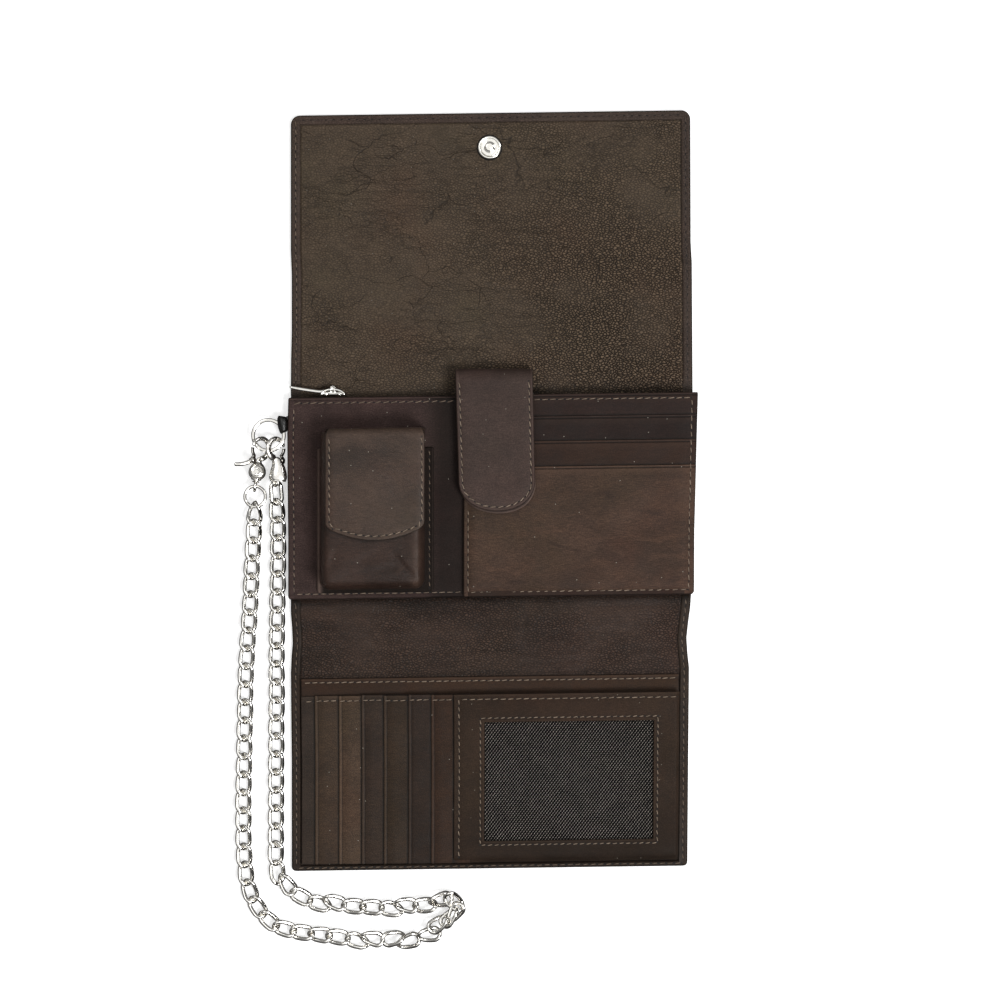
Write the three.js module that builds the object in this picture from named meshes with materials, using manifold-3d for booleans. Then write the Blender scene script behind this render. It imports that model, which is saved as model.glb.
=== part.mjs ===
// Tri-fold leather chain wallet, laid open and flat, inside face up.
// Millimetres, +Z up. Origin: centre of the middle panel, on the wallet's outer (under) face.
// +X to the right, +Y towards the top flap. The chain hangs along the left (-X) side.
import * as THREE from "three";
import { mergeVertices } from "three/addons/utils/BufferGeometryUtils.js";
import Module from "manifold-3d";

const wasm = await Module();
wasm.setup();

// ---------------------------------------------------------------- driving dimensions
const COVER_T = 1.3;             // cover leather
const SPINE_T = 1.8;             // cover and lining together at the folds
const AXIS_Z = COVER_T / 2;      // fold axes lie in the middle of the cover leather
const FOLD_GAP = 0.12;           // each sheet end stands back this far from its fold line
const FOLD_BEVEL = 33;           // bevel above the fold axis, degrees from vertical
const COVER_L = -86.0;
const COVER_R = 85.8;
const FLAP_TOP = 164.6;          // free edge of the top flap
const FLAP_CORNER_R = 4;
const BOTTOM_EDGE = -160.0;      // free edge of the bottom panel
const BOTTOM_CORNER_R = 2;
const TRIM = 5;                  // overshoot of the sheets used to trim the end panels

// fold lines: three for each spine, one segment apart
const UP_SEG = 18.6;
const UP_FOLD = 54.0;
const UP_1 = UP_FOLD + UP_SEG;
const UP_2 = UP_FOLD + 2 * UP_SEG;
const LOW_SEG = 16.5;
const LOW_FOLD = -43.9;
const LOW_1 = LOW_FOLD - LOW_SEG;
const LOW_2 = LOW_FOLD - 2 * LOW_SEG;

// turned edges and the linings inside them
const INSIDE_Z = COVER_T + 0.1;  // underside of whatever lies on the cover
const HEM_TOP_Z = 2.3;
const LINING_TOP_Z = 2.2;
const BORDER = 4.1;              // width of the turned edge
const BOTTOM_BORDER = 2.6;       // the same, along the bottom edge
const HEM_GAP = 0.3;             // between turned edge and lining
const HEM_L = COVER_L + BORDER;
const HEM_R = COVER_R - BORDER;
const LINING_L = HEM_L + HEM_GAP;
const LINING_R = HEM_R - HEM_GAP;

// the socket lies where the stud lands once both spines are folded
const STUD_X = -0.6;
const STUD_Y = 149.6;
const STUD_FOLDED_Y = UP_FOLD + UP_2 - STUD_Y;
const SOCKET_Y = LOW_FOLD + LOW_2 - STUD_FOLDED_Y;
const SOCKET_R = 6.0;

// middle block: lower (back) and upper (front) walls of the zip compartment
const BLOCK = { left: -86.8, right: 88.4, top: 43.3, bottom: -43.3 };
const BACK_Z0 = 2.9;
const BACK_Z1 = 3.6;
const FRONT_Z0 = 5.2;
const FRONT_Z1 = 6.2;

const HARDWARE_Z = 4.3;          // centre plane of the chain hardware

const COLOR = {
  cover: 0x463d34, lining: 0x493e35, panel: 0x352a28, tab: 0x493e3a, pouch: 0x4c413b,
  pocket: 0x4e3e36, strip: 0x3c322c, mesh: 0x1b1a19, chrome: 0xe3e1da, black: 0x14120f,
  tape: 0x17130f,
};
const SOFT_ROUGHNESS = 0.6;      // leather, tape and mesh
// roughness of the chromed parts, brightest first
const POLISH = { ring: 0.15, clasp: 0.18, stud: 0.2, fitting: 0.25, disc: 0.3, teeth: 0.4 };

// ---------------------------------------------------------------- adding pieces
const group = new THREE.Group();

function add(name, geometry, finish) {
  const mesh = new THREE.Mesh(geometry, new THREE.MeshStandardMaterial(finish));
  mesh.name = name;
  group.add(mesh);
}
function addSoft(name, geometry, color) {
  add(name, geometry, { color, metalness: 0, roughness: SOFT_ROUGHNESS });
}
function addChrome(name, geometry, roughness) {
  add(name, geometry, { color: COLOR.chrome, metalness: 1, roughness });
}

// ---------------------------------------------------------------- solids
const vector = (x, y, z) => new THREE.Vector3(x, y, z);
const radians = degrees => degrees * Math.PI / 180;

function volume(geometry) {
  const { position } = geometry.attributes;
  const { index } = geometry;
  const [a, b, c] = [vector(), vector(), vector()];
  let total = 0;
  for (let i = 0; i < index.count; i += 3) {
    a.fromBufferAttribute(position, index.getX(i));
    b.fromBufferAttribute(position, index.getX(i + 1));
    c.fromBufferAttribute(position, index.getX(i + 2));
    total += a.dot(b.cross(c)) / 6;
  }
  return total;
}
function turnInsideOut({ index }) {
  for (let i = 0; i < index.count; i += 3) {
    const second = index.getX(i + 1);
    index.setX(i + 1, index.getX(i + 2));
    index.setX(i + 2, second);
  }
}
// three geometry to Manifold solid, welded and facing outwards
function solid(geometry) {
  const bare = geometry.clone();
  bare.deleteAttribute("normal");
  bare.deleteAttribute("uv");
  const welded = mergeVertices(bare, 1e-4);
  if (volume(welded) < 0) turnInsideOut(welded);
  return new wasm.Manifold(new wasm.Mesh({
    numProp: 3,
    vertProperties: new Float32Array(welded.attributes.position.array),
    triVerts: new Uint32Array(welded.index.array),
  }));
}
function union(...geometries) {
  return geometries.map(solid).reduce((sum, part) => sum.add(part));
}
function fromSolid(manifold) {
  const { vertProperties, triVerts } = manifold.getMesh();
  const geometry = new THREE.BufferGeometry();
  const position = new THREE.BufferAttribute(new Float32Array(vertProperties), 3);
  geometry.setAttribute("position", position);
  geometry.setIndex(new THREE.BufferAttribute(new Uint32Array(triVerts), 1));
  return geometry;
}

// ---------------------------------------------------------------- outlines, lists of [x, y]
// arc or part ellipse of n steps, in degrees counterclockwise from +x
function arc(cx, cy, rx, from, to, n, ry = rx) {
  return Array.from({ length: n + 1 }, (_, i) => {
    const angle = radians(from + (to - from) * i / n);
    return [cx + rx * Math.cos(angle), cy + ry * Math.sin(angle)];
  });
}
function circle(cx, cy, r, n) {
  return Array.from({ length: n }, (_, i) => {
    const angle = 2 * Math.PI * i / n;
    return [cx + r * Math.cos(angle), cy + r * Math.sin(angle)];
  });
}
function rect(x0, x1, y0, y1) {
  return [[x0, y0], [x1, y0], [x1, y1], [x0, y1]];
}
// radii in the order bottom left, bottom right, top right, top left; 0 keeps the corner sharp
function roundRect(x0, x1, y0, y1, [bl, br, tr, tl], n = 4) {
  const corner = (cx, cy, r, from) => (r > 0 ? arc(cx, cy, r, from, from + 90, n) : [[cx, cy]]);
  return [
    ...corner(x0 + bl, y0 + bl, bl, 180),
    ...corner(x1 - br, y0 + br, br, 270),
    ...corner(x1 - tr, y1 - tr, tr, 0),
    ...corner(x0 + tl, y1 - tl, tl, 90),
  ];
}

// ---------------------------------------------------------------- shape helpers
const flatPoints = points => points.map(([x, y]) => new THREE.Vector2(x, y));

function box(x0, x1, y0, y1, z0, z1) {
  const geometry = new THREE.BoxGeometry(x1 - x0, y1 - y0, z1 - z0);
  return geometry.translate((x0 + x1) / 2, (y0 + y1) / 2, (z0 + z1) / 2);
}
// flat sheet cut to an XY outline, between two heights
function sheet(outline, z0, z1, hole) {
  const shape = new THREE.Shape(flatPoints(outline));
  if (hole) shape.holes.push(new THREE.Path(flatPoints(hole).reverse()));
  const geometry = new THREE.ExtrudeGeometry(shape, { depth: z1 - z0, bevelEnabled: false });
  return geometry.translate(0, 0, z0);
}
// profile of [y, z] points, run along X
function alongX(profile, x0, x1) {
  const shape = new THREE.Shape(flatPoints(profile));
  const geometry = new THREE.ExtrudeGeometry(shape, { depth: x1 - x0, bevelEnabled: false });
  return place(geometry, vector(x0, 0, 0), vector(0, 1, 0), vector(0, 0, 1));
}
// profile of [radius, z] points, turned about Z
function lathe(profile, n) {
  return new THREE.LatheGeometry(flatPoints(profile), n).rotateX(Math.PI / 2);
}
// rod centred on x, y, z with its axis along Z
function rod(r, length, n, x, y, z) {
  return new THREE.CylinderGeometry(r, r, length, n).rotateX(Math.PI / 2).translate(x, y, z);
}
// ring standing in the YZ plane, centred on the Y axis
function uprightEye(r, wire, y) {
  return new THREE.TorusGeometry(r, wire, 6, 12).rotateY(Math.PI / 2).translate(0, y, 0);
}
// ring lying flat in the hardware plane
function flatRing(r, wire, n, x, y) {
  return new THREE.TorusGeometry(r, wire, 6, n).translate(x, y, HARDWARE_Z);
}
// moves a geometry into the right-handed frame given by its origin and two axes
function place(geometry, origin, xAxis, yAxis) {
  const zAxis = vector().crossVectors(xAxis, yAxis);
  const matrix = new THREE.Matrix4().makeBasis(xAxis, yAxis, zAxis).setPosition(origin);
  return geometry.applyMatrix4(matrix);
}

// ---------------------------------------------------------------- cover leather
// An end at a fold is bevelled above the fold axis, so that neighbours can fold up together.
function foldSheet(y0, y1, t, { foldLow = true, foldHigh = true, x0 = COVER_L, x1 = COVER_R } = {}) {
  const setback = (t - AXIS_Z) * Math.tan(radians(FOLD_BEVEL)) + FOLD_GAP;
  const low = foldLow
    ? [[y0 + setback, t], [y0 + FOLD_GAP, AXIS_Z], [y0 + FOLD_GAP, 0]]
    : [[y0, t], [y0, 0]];
  const high = foldHigh
    ? [[y1 - FOLD_GAP, 0], [y1 - FOLD_GAP, AXIS_Z], [y1 - setback, t]]
    : [[y1, 0], [y1, t]];
  return alongX([...low, ...high], x0, x1);
}
// name, lower edge, upper edge, thickness
const FOLDED_SHEETS = [
  ["cover_middle", LOW_FOLD, UP_FOLD, COVER_T],
  ["cover_upper_spine_a", UP_FOLD, UP_1, SPINE_T],
  ["cover_upper_spine_b", UP_1, UP_2, SPINE_T],
  ["cover_lower_spine_a", LOW_1, LOW_FOLD, SPINE_T],
  ["cover_lower_spine_b", LOW_2, LOW_1, SPINE_T],
];
for (const [name, y0, y1, t] of FOLDED_SHEETS) addSoft(name, foldSheet(y0, y1, t), COLOR.cover);

// end panel: a rounded blank trimmed to the bevel at its one fold
function addEndPanel(name, blank, y0, y1, openEnd) {
  const span = { x0: COVER_L - TRIM, x1: COVER_R + TRIM };
  const trim = foldSheet(y0, y1, COVER_T, { ...span, ...openEnd });
  addSoft(name, fromSolid(solid(blank).intersect(solid(trim))), COLOR.cover);
}
const FLAP_RADII = [0, 0, FLAP_CORNER_R, FLAP_CORNER_R];
const flapBlank = sheet(roundRect(COVER_L, COVER_R, UP_2, FLAP_TOP, FLAP_RADII), 0, COVER_T);
addEndPanel("cover_flap", flapBlank, UP_2, FLAP_TOP + TRIM, { foldHigh: false });

const SOCKET_HOLE = circle(STUD_X, SOCKET_Y, SOCKET_R + 0.3, 20);
const BOTTOM_RADII = [BOTTOM_CORNER_R, BOTTOM_CORNER_R, 0, 0];
const bottomOutline = roundRect(COVER_L, COVER_R, BOTTOM_EDGE, LOW_2, BOTTOM_RADII);
const bottomBlank = sheet(bottomOutline, 0, COVER_T, SOCKET_HOLE);
addEndPanel("cover_bottom", bottomBlank, BOTTOM_EDGE - TRIM, LOW_2, { foldLow: false });

// ---------------------------------------------------------------- top flap
{
  const start = UP_2 + 2.5;
  // turned edge round three sides: in along the lining, then back round the outside
  const hem = [
    [COVER_L, start],
    [HEM_L, start], [HEM_L, FLAP_TOP - BORDER], [HEM_R, FLAP_TOP - BORDER], [HEM_R, start],
    ...roundRect(COVER_L, COVER_R, start, FLAP_TOP, FLAP_RADII).slice(1),
  ];
  addSoft("flap_hem", sheet(hem, INSIDE_Z, HEM_TOP_Z), COLOR.cover);

  const lining = rect(LINING_L, LINING_R, start, FLAP_TOP - BORDER - HEM_GAP);
  const studHole = circle(STUD_X, STUD_Y, 1.7, 12);
  addSoft("flap_lining", sheet(lining, INSIDE_Z, LINING_TOP_Z, studHole), COLOR.lining);

  // radius, z
  const studProfile = [
    [0, INSIDE_Z], [1.3, INSIDE_Z], [1.3, 2.4], [5.0, 2.4], [5.0, 3.0], [4.4, 3.3],
    [1.5, 3.3], [1.5, 4.0], [1.95, 4.5], [1.95, 5.1], [1.4, 5.4], [0, 5.4],
  ];
  addChrome("snap_stud", lathe(studProfile, 20).translate(STUD_X, STUD_Y, 0), POLISH.stud);
}

// ---------------------------------------------------------------- zip compartment
function addWall(name, z0, z1) {
  addSoft(name, box(BLOCK.left, BLOCK.right, BLOCK.bottom, BLOCK.top, z0, z1), COLOR.panel);
}
addWall("compartment_back", BACK_Z0, BACK_Z1);
addWall("compartment_front", FRONT_Z0, FRONT_Z1);

const TAPE_GAP = 0.05;           // between tape and wall
const TAPE_REACH = 0.35;         // from the wall to the tape's far face
function addTape(name, z0, z1) {
  addSoft(name, box(-84, 85, 33, 41.2, z0, z1), COLOR.tape);
}
addTape("zipper_tape_back", BACK_Z1 + TAPE_GAP, BACK_Z1 + TAPE_REACH);
addTape("zipper_tape_front", FRONT_Z0 - TAPE_REACH, FRONT_Z0 - TAPE_GAP);

{
  // one row of toothed blocks on a common cord
  const cord = { left: -83, right: 84, bottom: 41.5, top: 42.4 };
  const tooth = { first: 83, last: -82, pitch: 6, width: 3, top: 43.0 };
  const outline = [[cord.left, cord.bottom], [cord.right, cord.bottom], [cord.right, cord.top]];
  for (let x = tooth.first; x > tooth.last; x -= tooth.pitch) {
    const left = x - tooth.width;
    outline.push([x, cord.top], [x, tooth.top], [left, tooth.top], [left, cord.top]);
  }
  outline.push([cord.left, cord.top]);
  addChrome("zipper_teeth", sheet(outline, 3.95, 4.85), POLISH.teeth);
}

const SLIDER_X = -67.8;
const SLIDER_PIN_Y = 46.1;
{
  // plate across the teeth, with two ears and a pin that carries the puller
  const z0 = 3.1;
  const z1 = 5.9;
  const earT = 0.5;
  const earR = 1.0;
  const ears = [[z0, z0 + earT], [z1 - earT, z1]].flatMap(([low, high]) => [
    box(SLIDER_X - earR, SLIDER_X + earR, 44.3, SLIDER_PIN_Y, low, high),
    sheet(circle(SLIDER_X, SLIDER_PIN_Y, earR, 12), low, high),
  ]);
  const slider = union(
    box(SLIDER_X - 5, SLIDER_X + 5, 43.6, 44.5, z0, z1),
    ...ears,
    sheet(circle(SLIDER_X, SLIDER_PIN_Y, 0.5, 8), 3.3, 5.7),
  );
  addChrome("zipper_slider", fromSolid(slider), POLISH.fitting);
}
{
  // eye on the pin, then a flat bar with a pointed end, running to the left
  const length = 17.0;
  const z0 = 3.8;
  const z1 = 5.2;
  const bar = [[-length, -0.9], [-1.0, -0.55], [-1.0, 0.55], [-length, 0.9], [-length - 1.2, 0]];
  const puller = union(sheet(bar, z0, z1), sheet(circle(0, 0, 1.25, 12), z0, z1))
    .subtract(solid(sheet(circle(0, 0, 0.8, 10), 3, 6)));
  const turned = fromSolid(puller).rotateZ(radians(-9)).translate(SLIDER_X, SLIDER_PIN_Y, 0);
  addChrome("zipper_puller", turned, POLISH.fitting);
}

// ---------------------------------------------------------------- horizontal card slots
const SLOT_L = -11.0;
// name, mouth (upper edge), z from, z to, colour
const SLOTS = [
  ["card_slot_1", BLOCK.top, 6.3, 6.8, COLOR.panel],
  ["card_slot_2", 33.9, 6.9, 7.4, COLOR.panel],
  ["card_slot_3", 23.3, 7.5, 8.0, COLOR.panel],
  ["card_pocket_large", 12.4, 8.1, 8.9, COLOR.pocket],
];
for (const [name, mouth, z0, z1, color] of SLOTS) {
  addSoft(name, box(SLOT_L, BLOCK.right, BLOCK.bottom + 0.3, mouth, z0, z1), color);
}

// ---------------------------------------------------------------- lighter pouch
const POUCH = {
  left: -73.0, right: -28.3, bottom: -39.9, top: 27.4, z0: 7.1, z1: 21.4,
  wall: 1.1, back: 0.5, front: 1.0,
};
const POUCH_FLAP = {
  left: -71.6, right: -29.7, top: 28.9, cornerY: -13.2, midY: -19.1, z0: 21.7, z1: 22.8,
  capT: 1.0,
};
{
  const flange = roundRect(-74.5, -24.4, -41.3, 20.6, [2, 2, 1, 1], 2);
  addSoft("pouch_flange", sheet(flange, 6.3, 7.0), COLOR.pouch);
}
{
  // box open at its upper (+Y) end
  const { left, right, bottom, top, z0, z1, wall, back, front } = POUCH;
  const outer = sheet(roundRect(left, right, bottom, top, [4, 4, 1, 1], 3), z0, z1);
  const inner = box(left + wall, right - wall, bottom + wall, top + 5, z0 + back, z1 - front);
  addSoft("pouch_body", fromSolid(solid(outer).subtract(solid(inner))), COLOR.pouch);
}
{
  // top sheet with a bowed lower edge, and a cap across the pouch mouth
  const { left, right, top, cornerY, midY, z0, z1, capT } = POUCH_FLAP;
  const steps = 6;
  const lowerEdge = Array.from({ length: steps + 1 }, (_, i) => {
    const u = i / steps;
    return [left + (right - left) * u, cornerY + (midY - cornerY) * Math.sin(Math.PI * u)];
  });
  const flap = union(
    sheet([...lowerEdge, [right, top], [left, top]], z0, z1),
    box(left, right, top - capT, top, POUCH.z0, z1),
  );
  addSoft("pouch_flap", fromSolid(flap), COLOR.pouch);
}

// ---------------------------------------------------------------- closure tab
const TAB = {
  left: -15.0, right: 18.4, end: -6.5, shoulder: 6.0, top: 44.3,
  z0: 9.2, innerTop: 10.3, outerBottom: 10.4, z1: 11.6,
};
{
  // strap from under the block, bent round its upper edge and back over it
  const startY = 18;
  const bendY = 49.3;
  const endY = 44.6;
  const lowerTop = 2.8;
  const outerR = (TAB.z1 - INSIDE_Z) / 2;
  const innerR = (TAB.z0 - lowerTop) / 2;
  const profile = [
    [startY, INSIDE_Z],
    ...arc(bendY, (TAB.z1 + INSIDE_Z) / 2, outerR, -90, 90, 8),
    [endY, TAB.z1], [endY, TAB.z0],
    ...arc(bendY, (TAB.z0 + lowerTop) / 2, innerR, 90, -90, 6),
    [startY, lowerTop],
  ];
  addSoft("tab_anchor", alongX(profile, TAB.left, TAB.right), COLOR.tab);
}
{
  const { left, right, end, shoulder, top, z0, innerTop, outerBottom, z1 } = TAB;
  const midX = (left + right) / 2;
  const halfWidth = (right - left) / 2;
  const outline = [
    ...arc(midX, shoulder, halfWidth, 180, 360, 10, shoulder - end),
    [right, top], [left, top],
  ];
  const disc = r => circle(midX, 8.5, r, 16);
  addSoft("tab_outer_ply", sheet(outline, outerBottom, z1), COLOR.tab);
  addSoft("tab_inner_ply", sheet(outline, z0, innerTop, disc(7.2)), COLOR.tab);
  addChrome("tab_magnet", sheet(disc(6.9), z0 + 0.1, innerTop), POLISH.disc);
  // the keeper lies between the compartment walls
  addChrome("tab_keeper", sheet(disc(7.0), BACK_Z1 + 0.15, FRONT_Z0 - 0.15), POLISH.disc);
}

// ---------------------------------------------------------------- bottom panel
const PANEL_TOP = LOW_2 - 1.0;
const PANEL_LOW = BOTTOM_EDGE + BOTTOM_BORDER + HEM_GAP;
const CARD_TOP = -84.9;          // upper edge of the card strips and the ID frame
const PLY = { right: -8.5, z0: 2.9, t: 0.4, pitch: 0.5 };
const PLY_EDGES = [-75.8, -65.4, -55.6, -46.0, -35.4, -25.5];   // left edges, lowest ply first
const WINDOW = { left: -2.3, right: 70.4, top: -97.0, bottom: -147.5, overlap: 4 };
{
  const hemTop = PANEL_TOP - 3;
  const hemLow = BOTTOM_EDGE + BOTTOM_BORDER;
  const hem = [
    [COVER_L, hemTop], [COVER_L, BOTTOM_EDGE], [COVER_R, BOTTOM_EDGE], [COVER_R, hemTop],
    [HEM_R, hemTop], [HEM_R, hemLow], [HEM_L, hemLow], [HEM_L, hemTop],
  ];
  addSoft("bottom_hem", sheet(hem, INSIDE_Z, HEM_TOP_Z), COLOR.cover);
}
{
  const outline = rect(LINING_L, LINING_R, PANEL_LOW, PANEL_TOP);
  addSoft("bill_divider", sheet(outline, INSIDE_Z, LINING_TOP_Z, SOCKET_HOLE), COLOR.strip);
}
addSoft("card_strip_base", box(LINING_L, LINING_R, PANEL_LOW, CARD_TOP, 2.3, 2.8), COLOR.strip);
PLY_EDGES.forEach((left, i) => {
  const z = PLY.z0 + PLY.pitch * i;
  const ply = box(left, PLY.right, PANEL_LOW, CARD_TOP, z, z + PLY.t);
  addSoft(`card_strip_${i + 1}`, ply, COLOR.strip);
});
{
  const { left, right, top, bottom, overlap } = WINDOW;
  const frame = rect(-15.7, 81.7, PANEL_LOW, CARD_TOP);
  addSoft("id_frame", sheet(frame, 5.9, 6.7, rect(left, right, bottom, top)), COLOR.strip);
  const backing = box(
    left - overlap, right + overlap, bottom - overlap, top + overlap, 5.4, 5.8);
  addSoft("id_mesh", backing, COLOR.mesh);
}
{
  // radius, z
  const profile = [
    [0, 1.95], [2.4, 1.95], [2.4, 0], [5.4, 0], [SOCKET_R, 0.5], [SOCKET_R, 2.2], [0, 2.2],
  ];
  addChrome("snap_socket", lathe(profile, 20).translate(STUD_X, SOCKET_Y, 0), POLISH.fitting);
}

// ---------------------------------------------------------------- ring and leather loop
const RING = { x: -95.4, y: 26.0, r: 6.6, wire: 0.9 };

function ringAt(degrees) {
  const angle = radians(degrees);
  return vector(RING.x + RING.r * Math.cos(angle), RING.y + RING.r * Math.sin(angle), HARDWARE_Z);
}
{
  // band: short thick tube whose axis follows the ring's wire
  const degrees = 50;
  const angle = radians(degrees);
  const radial = vector(Math.cos(angle), Math.sin(angle), 0);
  const tube = lathe([[1.7, -2.1], [2.7, -2.1], [2.7, 2.1], [1.7, 2.1], [1.7, -2.1]], 14);
  const band = place(tube, ringAt(degrees), radial, vector(0, 0, 1));
  // tail between the cover and the block
  const tail = box(-88.2, -80, 29.4, 35.4, 1.5, 2.75);
  addSoft("chain_anchor_loop", fromSolid(union(band, tail)), COLOR.black);
}
addChrome("chain_ring", flatRing(RING.r, RING.wire, 24, RING.x, RING.y), POLISH.ring);

// ---------------------------------------------------------------- clasps
// Local frame of a clasp: origin at the hook's centre, y from the hook to the chain,
// x roughly towards -X and raised by the tilt, z normal to the clasp's plane.
const CLASP_TILT = 42;
const HOOK_WIRE = 0.85;
// angles round the hook, in degrees from +y towards the gate's side
const HOOK_FROM = 100;
const HOOK_TO = 358;
const GATE_FROM = 36;
const GATE_TO = HOOK_FROM - 9;
const GATE_HALF_T = 0.6;         // half thickness of the gate, also near half its width
const FINGER_HALF_W = 0.65;
const PIVOT_X = 3.3;

// side: +1 puts the gate on local +x, -1 on local -x. lever: outline of [x, y] for side +1
const CLASP_A = {
  origin: ringAt(-120), along: vector(-0.149, -0.989, 0).normalize(),
  hookR: 4.4, side: 1, neckEnd: 13.2, bored: true,
  lever: [[3.4, 6.1], [10.9, 8.3], [11.6, 7.6], [11.2, 6.6], [4.4, 4.6]],
};
const CLASP_B = {
  origin: ringAt(-60), along: vector(-0.02, -1, 0).normalize(),
  hookR: 4.2, side: -1, neckEnd: 12.2, bored: false,
  lever: [[3.2, 5.9], [4.6, 6.3], [5.0, 5.6], [4.2, 4.5]],
};
const pivotY = hookR => hookR + 0.9;
const across = along => vector(along.y, -along.x, 0);

function placeClasp(manifold, { origin, along }) {
  const tilt = radians(CLASP_TILT);
  const xAxis = across(along).multiplyScalar(Math.cos(tilt)).add(vector(0, 0, Math.sin(tilt)));
  return place(fromSolid(manifold), origin, xAxis, along);
}
function hook(r, side) {
  const steps = 13;
  const points = Array.from({ length: steps + 1 }, (_, i) => {
    const angle = radians(side * (HOOK_FROM + (HOOK_TO - HOOK_FROM) * i / steps));
    return vector(r * Math.sin(angle), r * Math.cos(angle), 0);
  });
  const section = new THREE.Shape(flatPoints(circle(0, 0, HOOK_WIRE, 6)));
  const extrudePath = new THREE.CatmullRomCurve3(points);
  return new THREE.ExtrudeGeometry(section, { steps, bevelEnabled: false, extrudePath });
}
function claspBody(spec) {
  const { hookR, side, neckEnd, bored } = spec;
  // radius, y
  const neckProfile = [
    [0, hookR - 0.6], [1.1, hookR - 0.6], [1.3, hookR + 1.2], [2.6, hookR + 3.2],
    [3.1, hookR + 5.0], [2.3, neckEnd - 0.8], [1.8, neckEnd], [0, neckEnd],
  ];
  const neck = lathe(neckProfile, 12).rotateX(-Math.PI / 2).scale(1, 1, 0.8);
  // ear beside the gate, carrying the pin it turns on
  const x = PIVOT_X * side;
  const y = pivotY(hookR);
  const earR = 0.9;
  const body = union(
    hook(hookR, side),
    neck,
    box(Math.min(0, x), Math.max(0, x), y - earR, y + earR, -1.75, -1.05),
    rod(earR, 0.7, 10, x, y, -1.4),
    rod(0.45, 2.6, 8, x, y, -0.2),
  );
  const bore = new THREE.CylinderGeometry(1.15, 1.15, 3.0, 12).translate(0, neckEnd - 0.4, 0);
  const finished = bored
    ? body.subtract(solid(bore))
    : body.add(solid(uprightEye(1.75, 0.6, neckEnd + 1.9)));
  return placeClasp(finished, spec);
}
// flat plate: curved finger across the hook's gap, pivot eye, web between them, thumb lever
function claspGate(spec) {
  const { hookR, side, lever } = spec;
  const plate = outline => sheet(outline, -GATE_HALF_T, GATE_HALF_T);
  const sided = outline => plate(outline.map(([x, y]) => [x * side, y]));
  const pivot = [PIVOT_X * side, pivotY(hookR)];
  const finger = [
    ...arc(0, 0, hookR - FINGER_HALF_W, 90 - GATE_TO, 90 - GATE_FROM, 4),
    ...arc(0, 0, hookR + FINGER_HALF_W, 90 - GATE_FROM, 90 - GATE_TO, 4),
  ];
  const gate = union(
    sided(finger),
    plate(circle(...pivot, 1.45, 12)),
    sided([[2.2, 3.3], [4.1, 3.3], [4.5, 5.2], [2.2, 5.2]]),
    sided(lever),
  ).subtract(solid(sheet(circle(...pivot, 0.75, 10), -2, 2)));
  return placeClasp(gate, spec);
}
addChrome("clasp_a_body", claspBody(CLASP_A), POLISH.clasp);
addChrome("clasp_a_trigger", claspGate(CLASP_A), POLISH.clasp);
addChrome("clasp_b_body", claspBody(CLASP_B), POLISH.clasp);
addChrome("clasp_b_gate", claspGate(CLASP_B), POLISH.clasp);

// ---------------------------------------------------------------- swivel and small ring
const SWIVEL_EYE = 16.3;         // from clasp A's origin to the eye's centre
const SMALL_R = 4.4;
const eyeCentre = CLASP_A.origin.clone().addScaledVector(CLASP_A.along, SWIVEL_EYE);
{
  // post in clasp A's bore, with an upright eye for the small ring
  const { origin, along } = CLASP_A;
  const post = new THREE.CylinderGeometry(0.8, 0.8, 3.2, 10).translate(0, SWIVEL_EYE - 3.4, 0);
  const swivel = fromSolid(union(post, uprightEye(1.9, 0.65, SWIVEL_EYE)));
  addChrome("clasp_a_swivel", place(swivel, origin, across(along), along), POLISH.clasp);
}
addChrome("small_ring",
  flatRing(SMALL_R, 0.75, 20, eyeCentre.x, eyeCentre.y - SMALL_R), POLISH.ring);

// ---------------------------------------------------------------- chain
const LINK = { pitch: 7.74, length: 9.19, width: 5.15, wire: 0.58, twist: 40 };

// stadium-shaped link along Y, twisted about its long axis from startRoll to LINK.twist degrees
function link(startRoll) {
  const tubeR = 0.25;            // unit torus that supplies the mesh
  const geometry = new THREE.TorusGeometry(1, tubeR, 4, 12);
  const { position } = geometry.attributes;
  const half = (LINK.length - LINK.width) / 2;      // half of a straight leg
  const r = LINK.width / 2;
  const bend = Math.PI * r;
  const perimeter = 4 * half + 2 * bend;
  const onBend = (angle, endY) => {
    const [dx, dy] = [Math.cos(angle), Math.sin(angle)];
    return [r * dx, endY + r * dy, dx, dy];
  };
  // centreline point and outward direction, s measured from the middle of the +x leg
  const centreline = s => {
    if (s <= half) return [r, s, 1, 0];
    if (s <= half + bend) return onBend((s - half) / r, half);
    if (s <= 3 * half + bend) return [-r, half - (s - half - bend), -1, 0];
    if (s <= 3 * half + 2 * bend) return onBend(Math.PI + (s - 3 * half - bend) / r, -half);
    return [r, s - perimeter, 1, 0];
  };
  for (let i = 0; i < position.count; i++) {
    const x = position.getX(i);
    const y = position.getY(i);
    const turn = (Math.atan2(y, x) / (2 * Math.PI) + 1) % 1;
    const [cx, cy, dx, dy] = centreline(turn * perimeter);
    const outward = (Math.hypot(x, y) - 1) / tubeR * LINK.wire;
    const flatX = cx + dx * outward;
    const flatY = cy + dy * outward;
    const flatZ = position.getZ(i) / tubeR * LINK.wire;
    const roll = radians(startRoll + (LINK.twist - startRoll) * (flatY / LINK.length + 0.5));
    const [cos, sin] = [Math.cos(roll), Math.sin(roll)];
    position.setXYZ(i, flatX * cos - flatZ * sin, flatY, flatX * sin + flatZ * cos);
  }
  return geometry;
}
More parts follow.
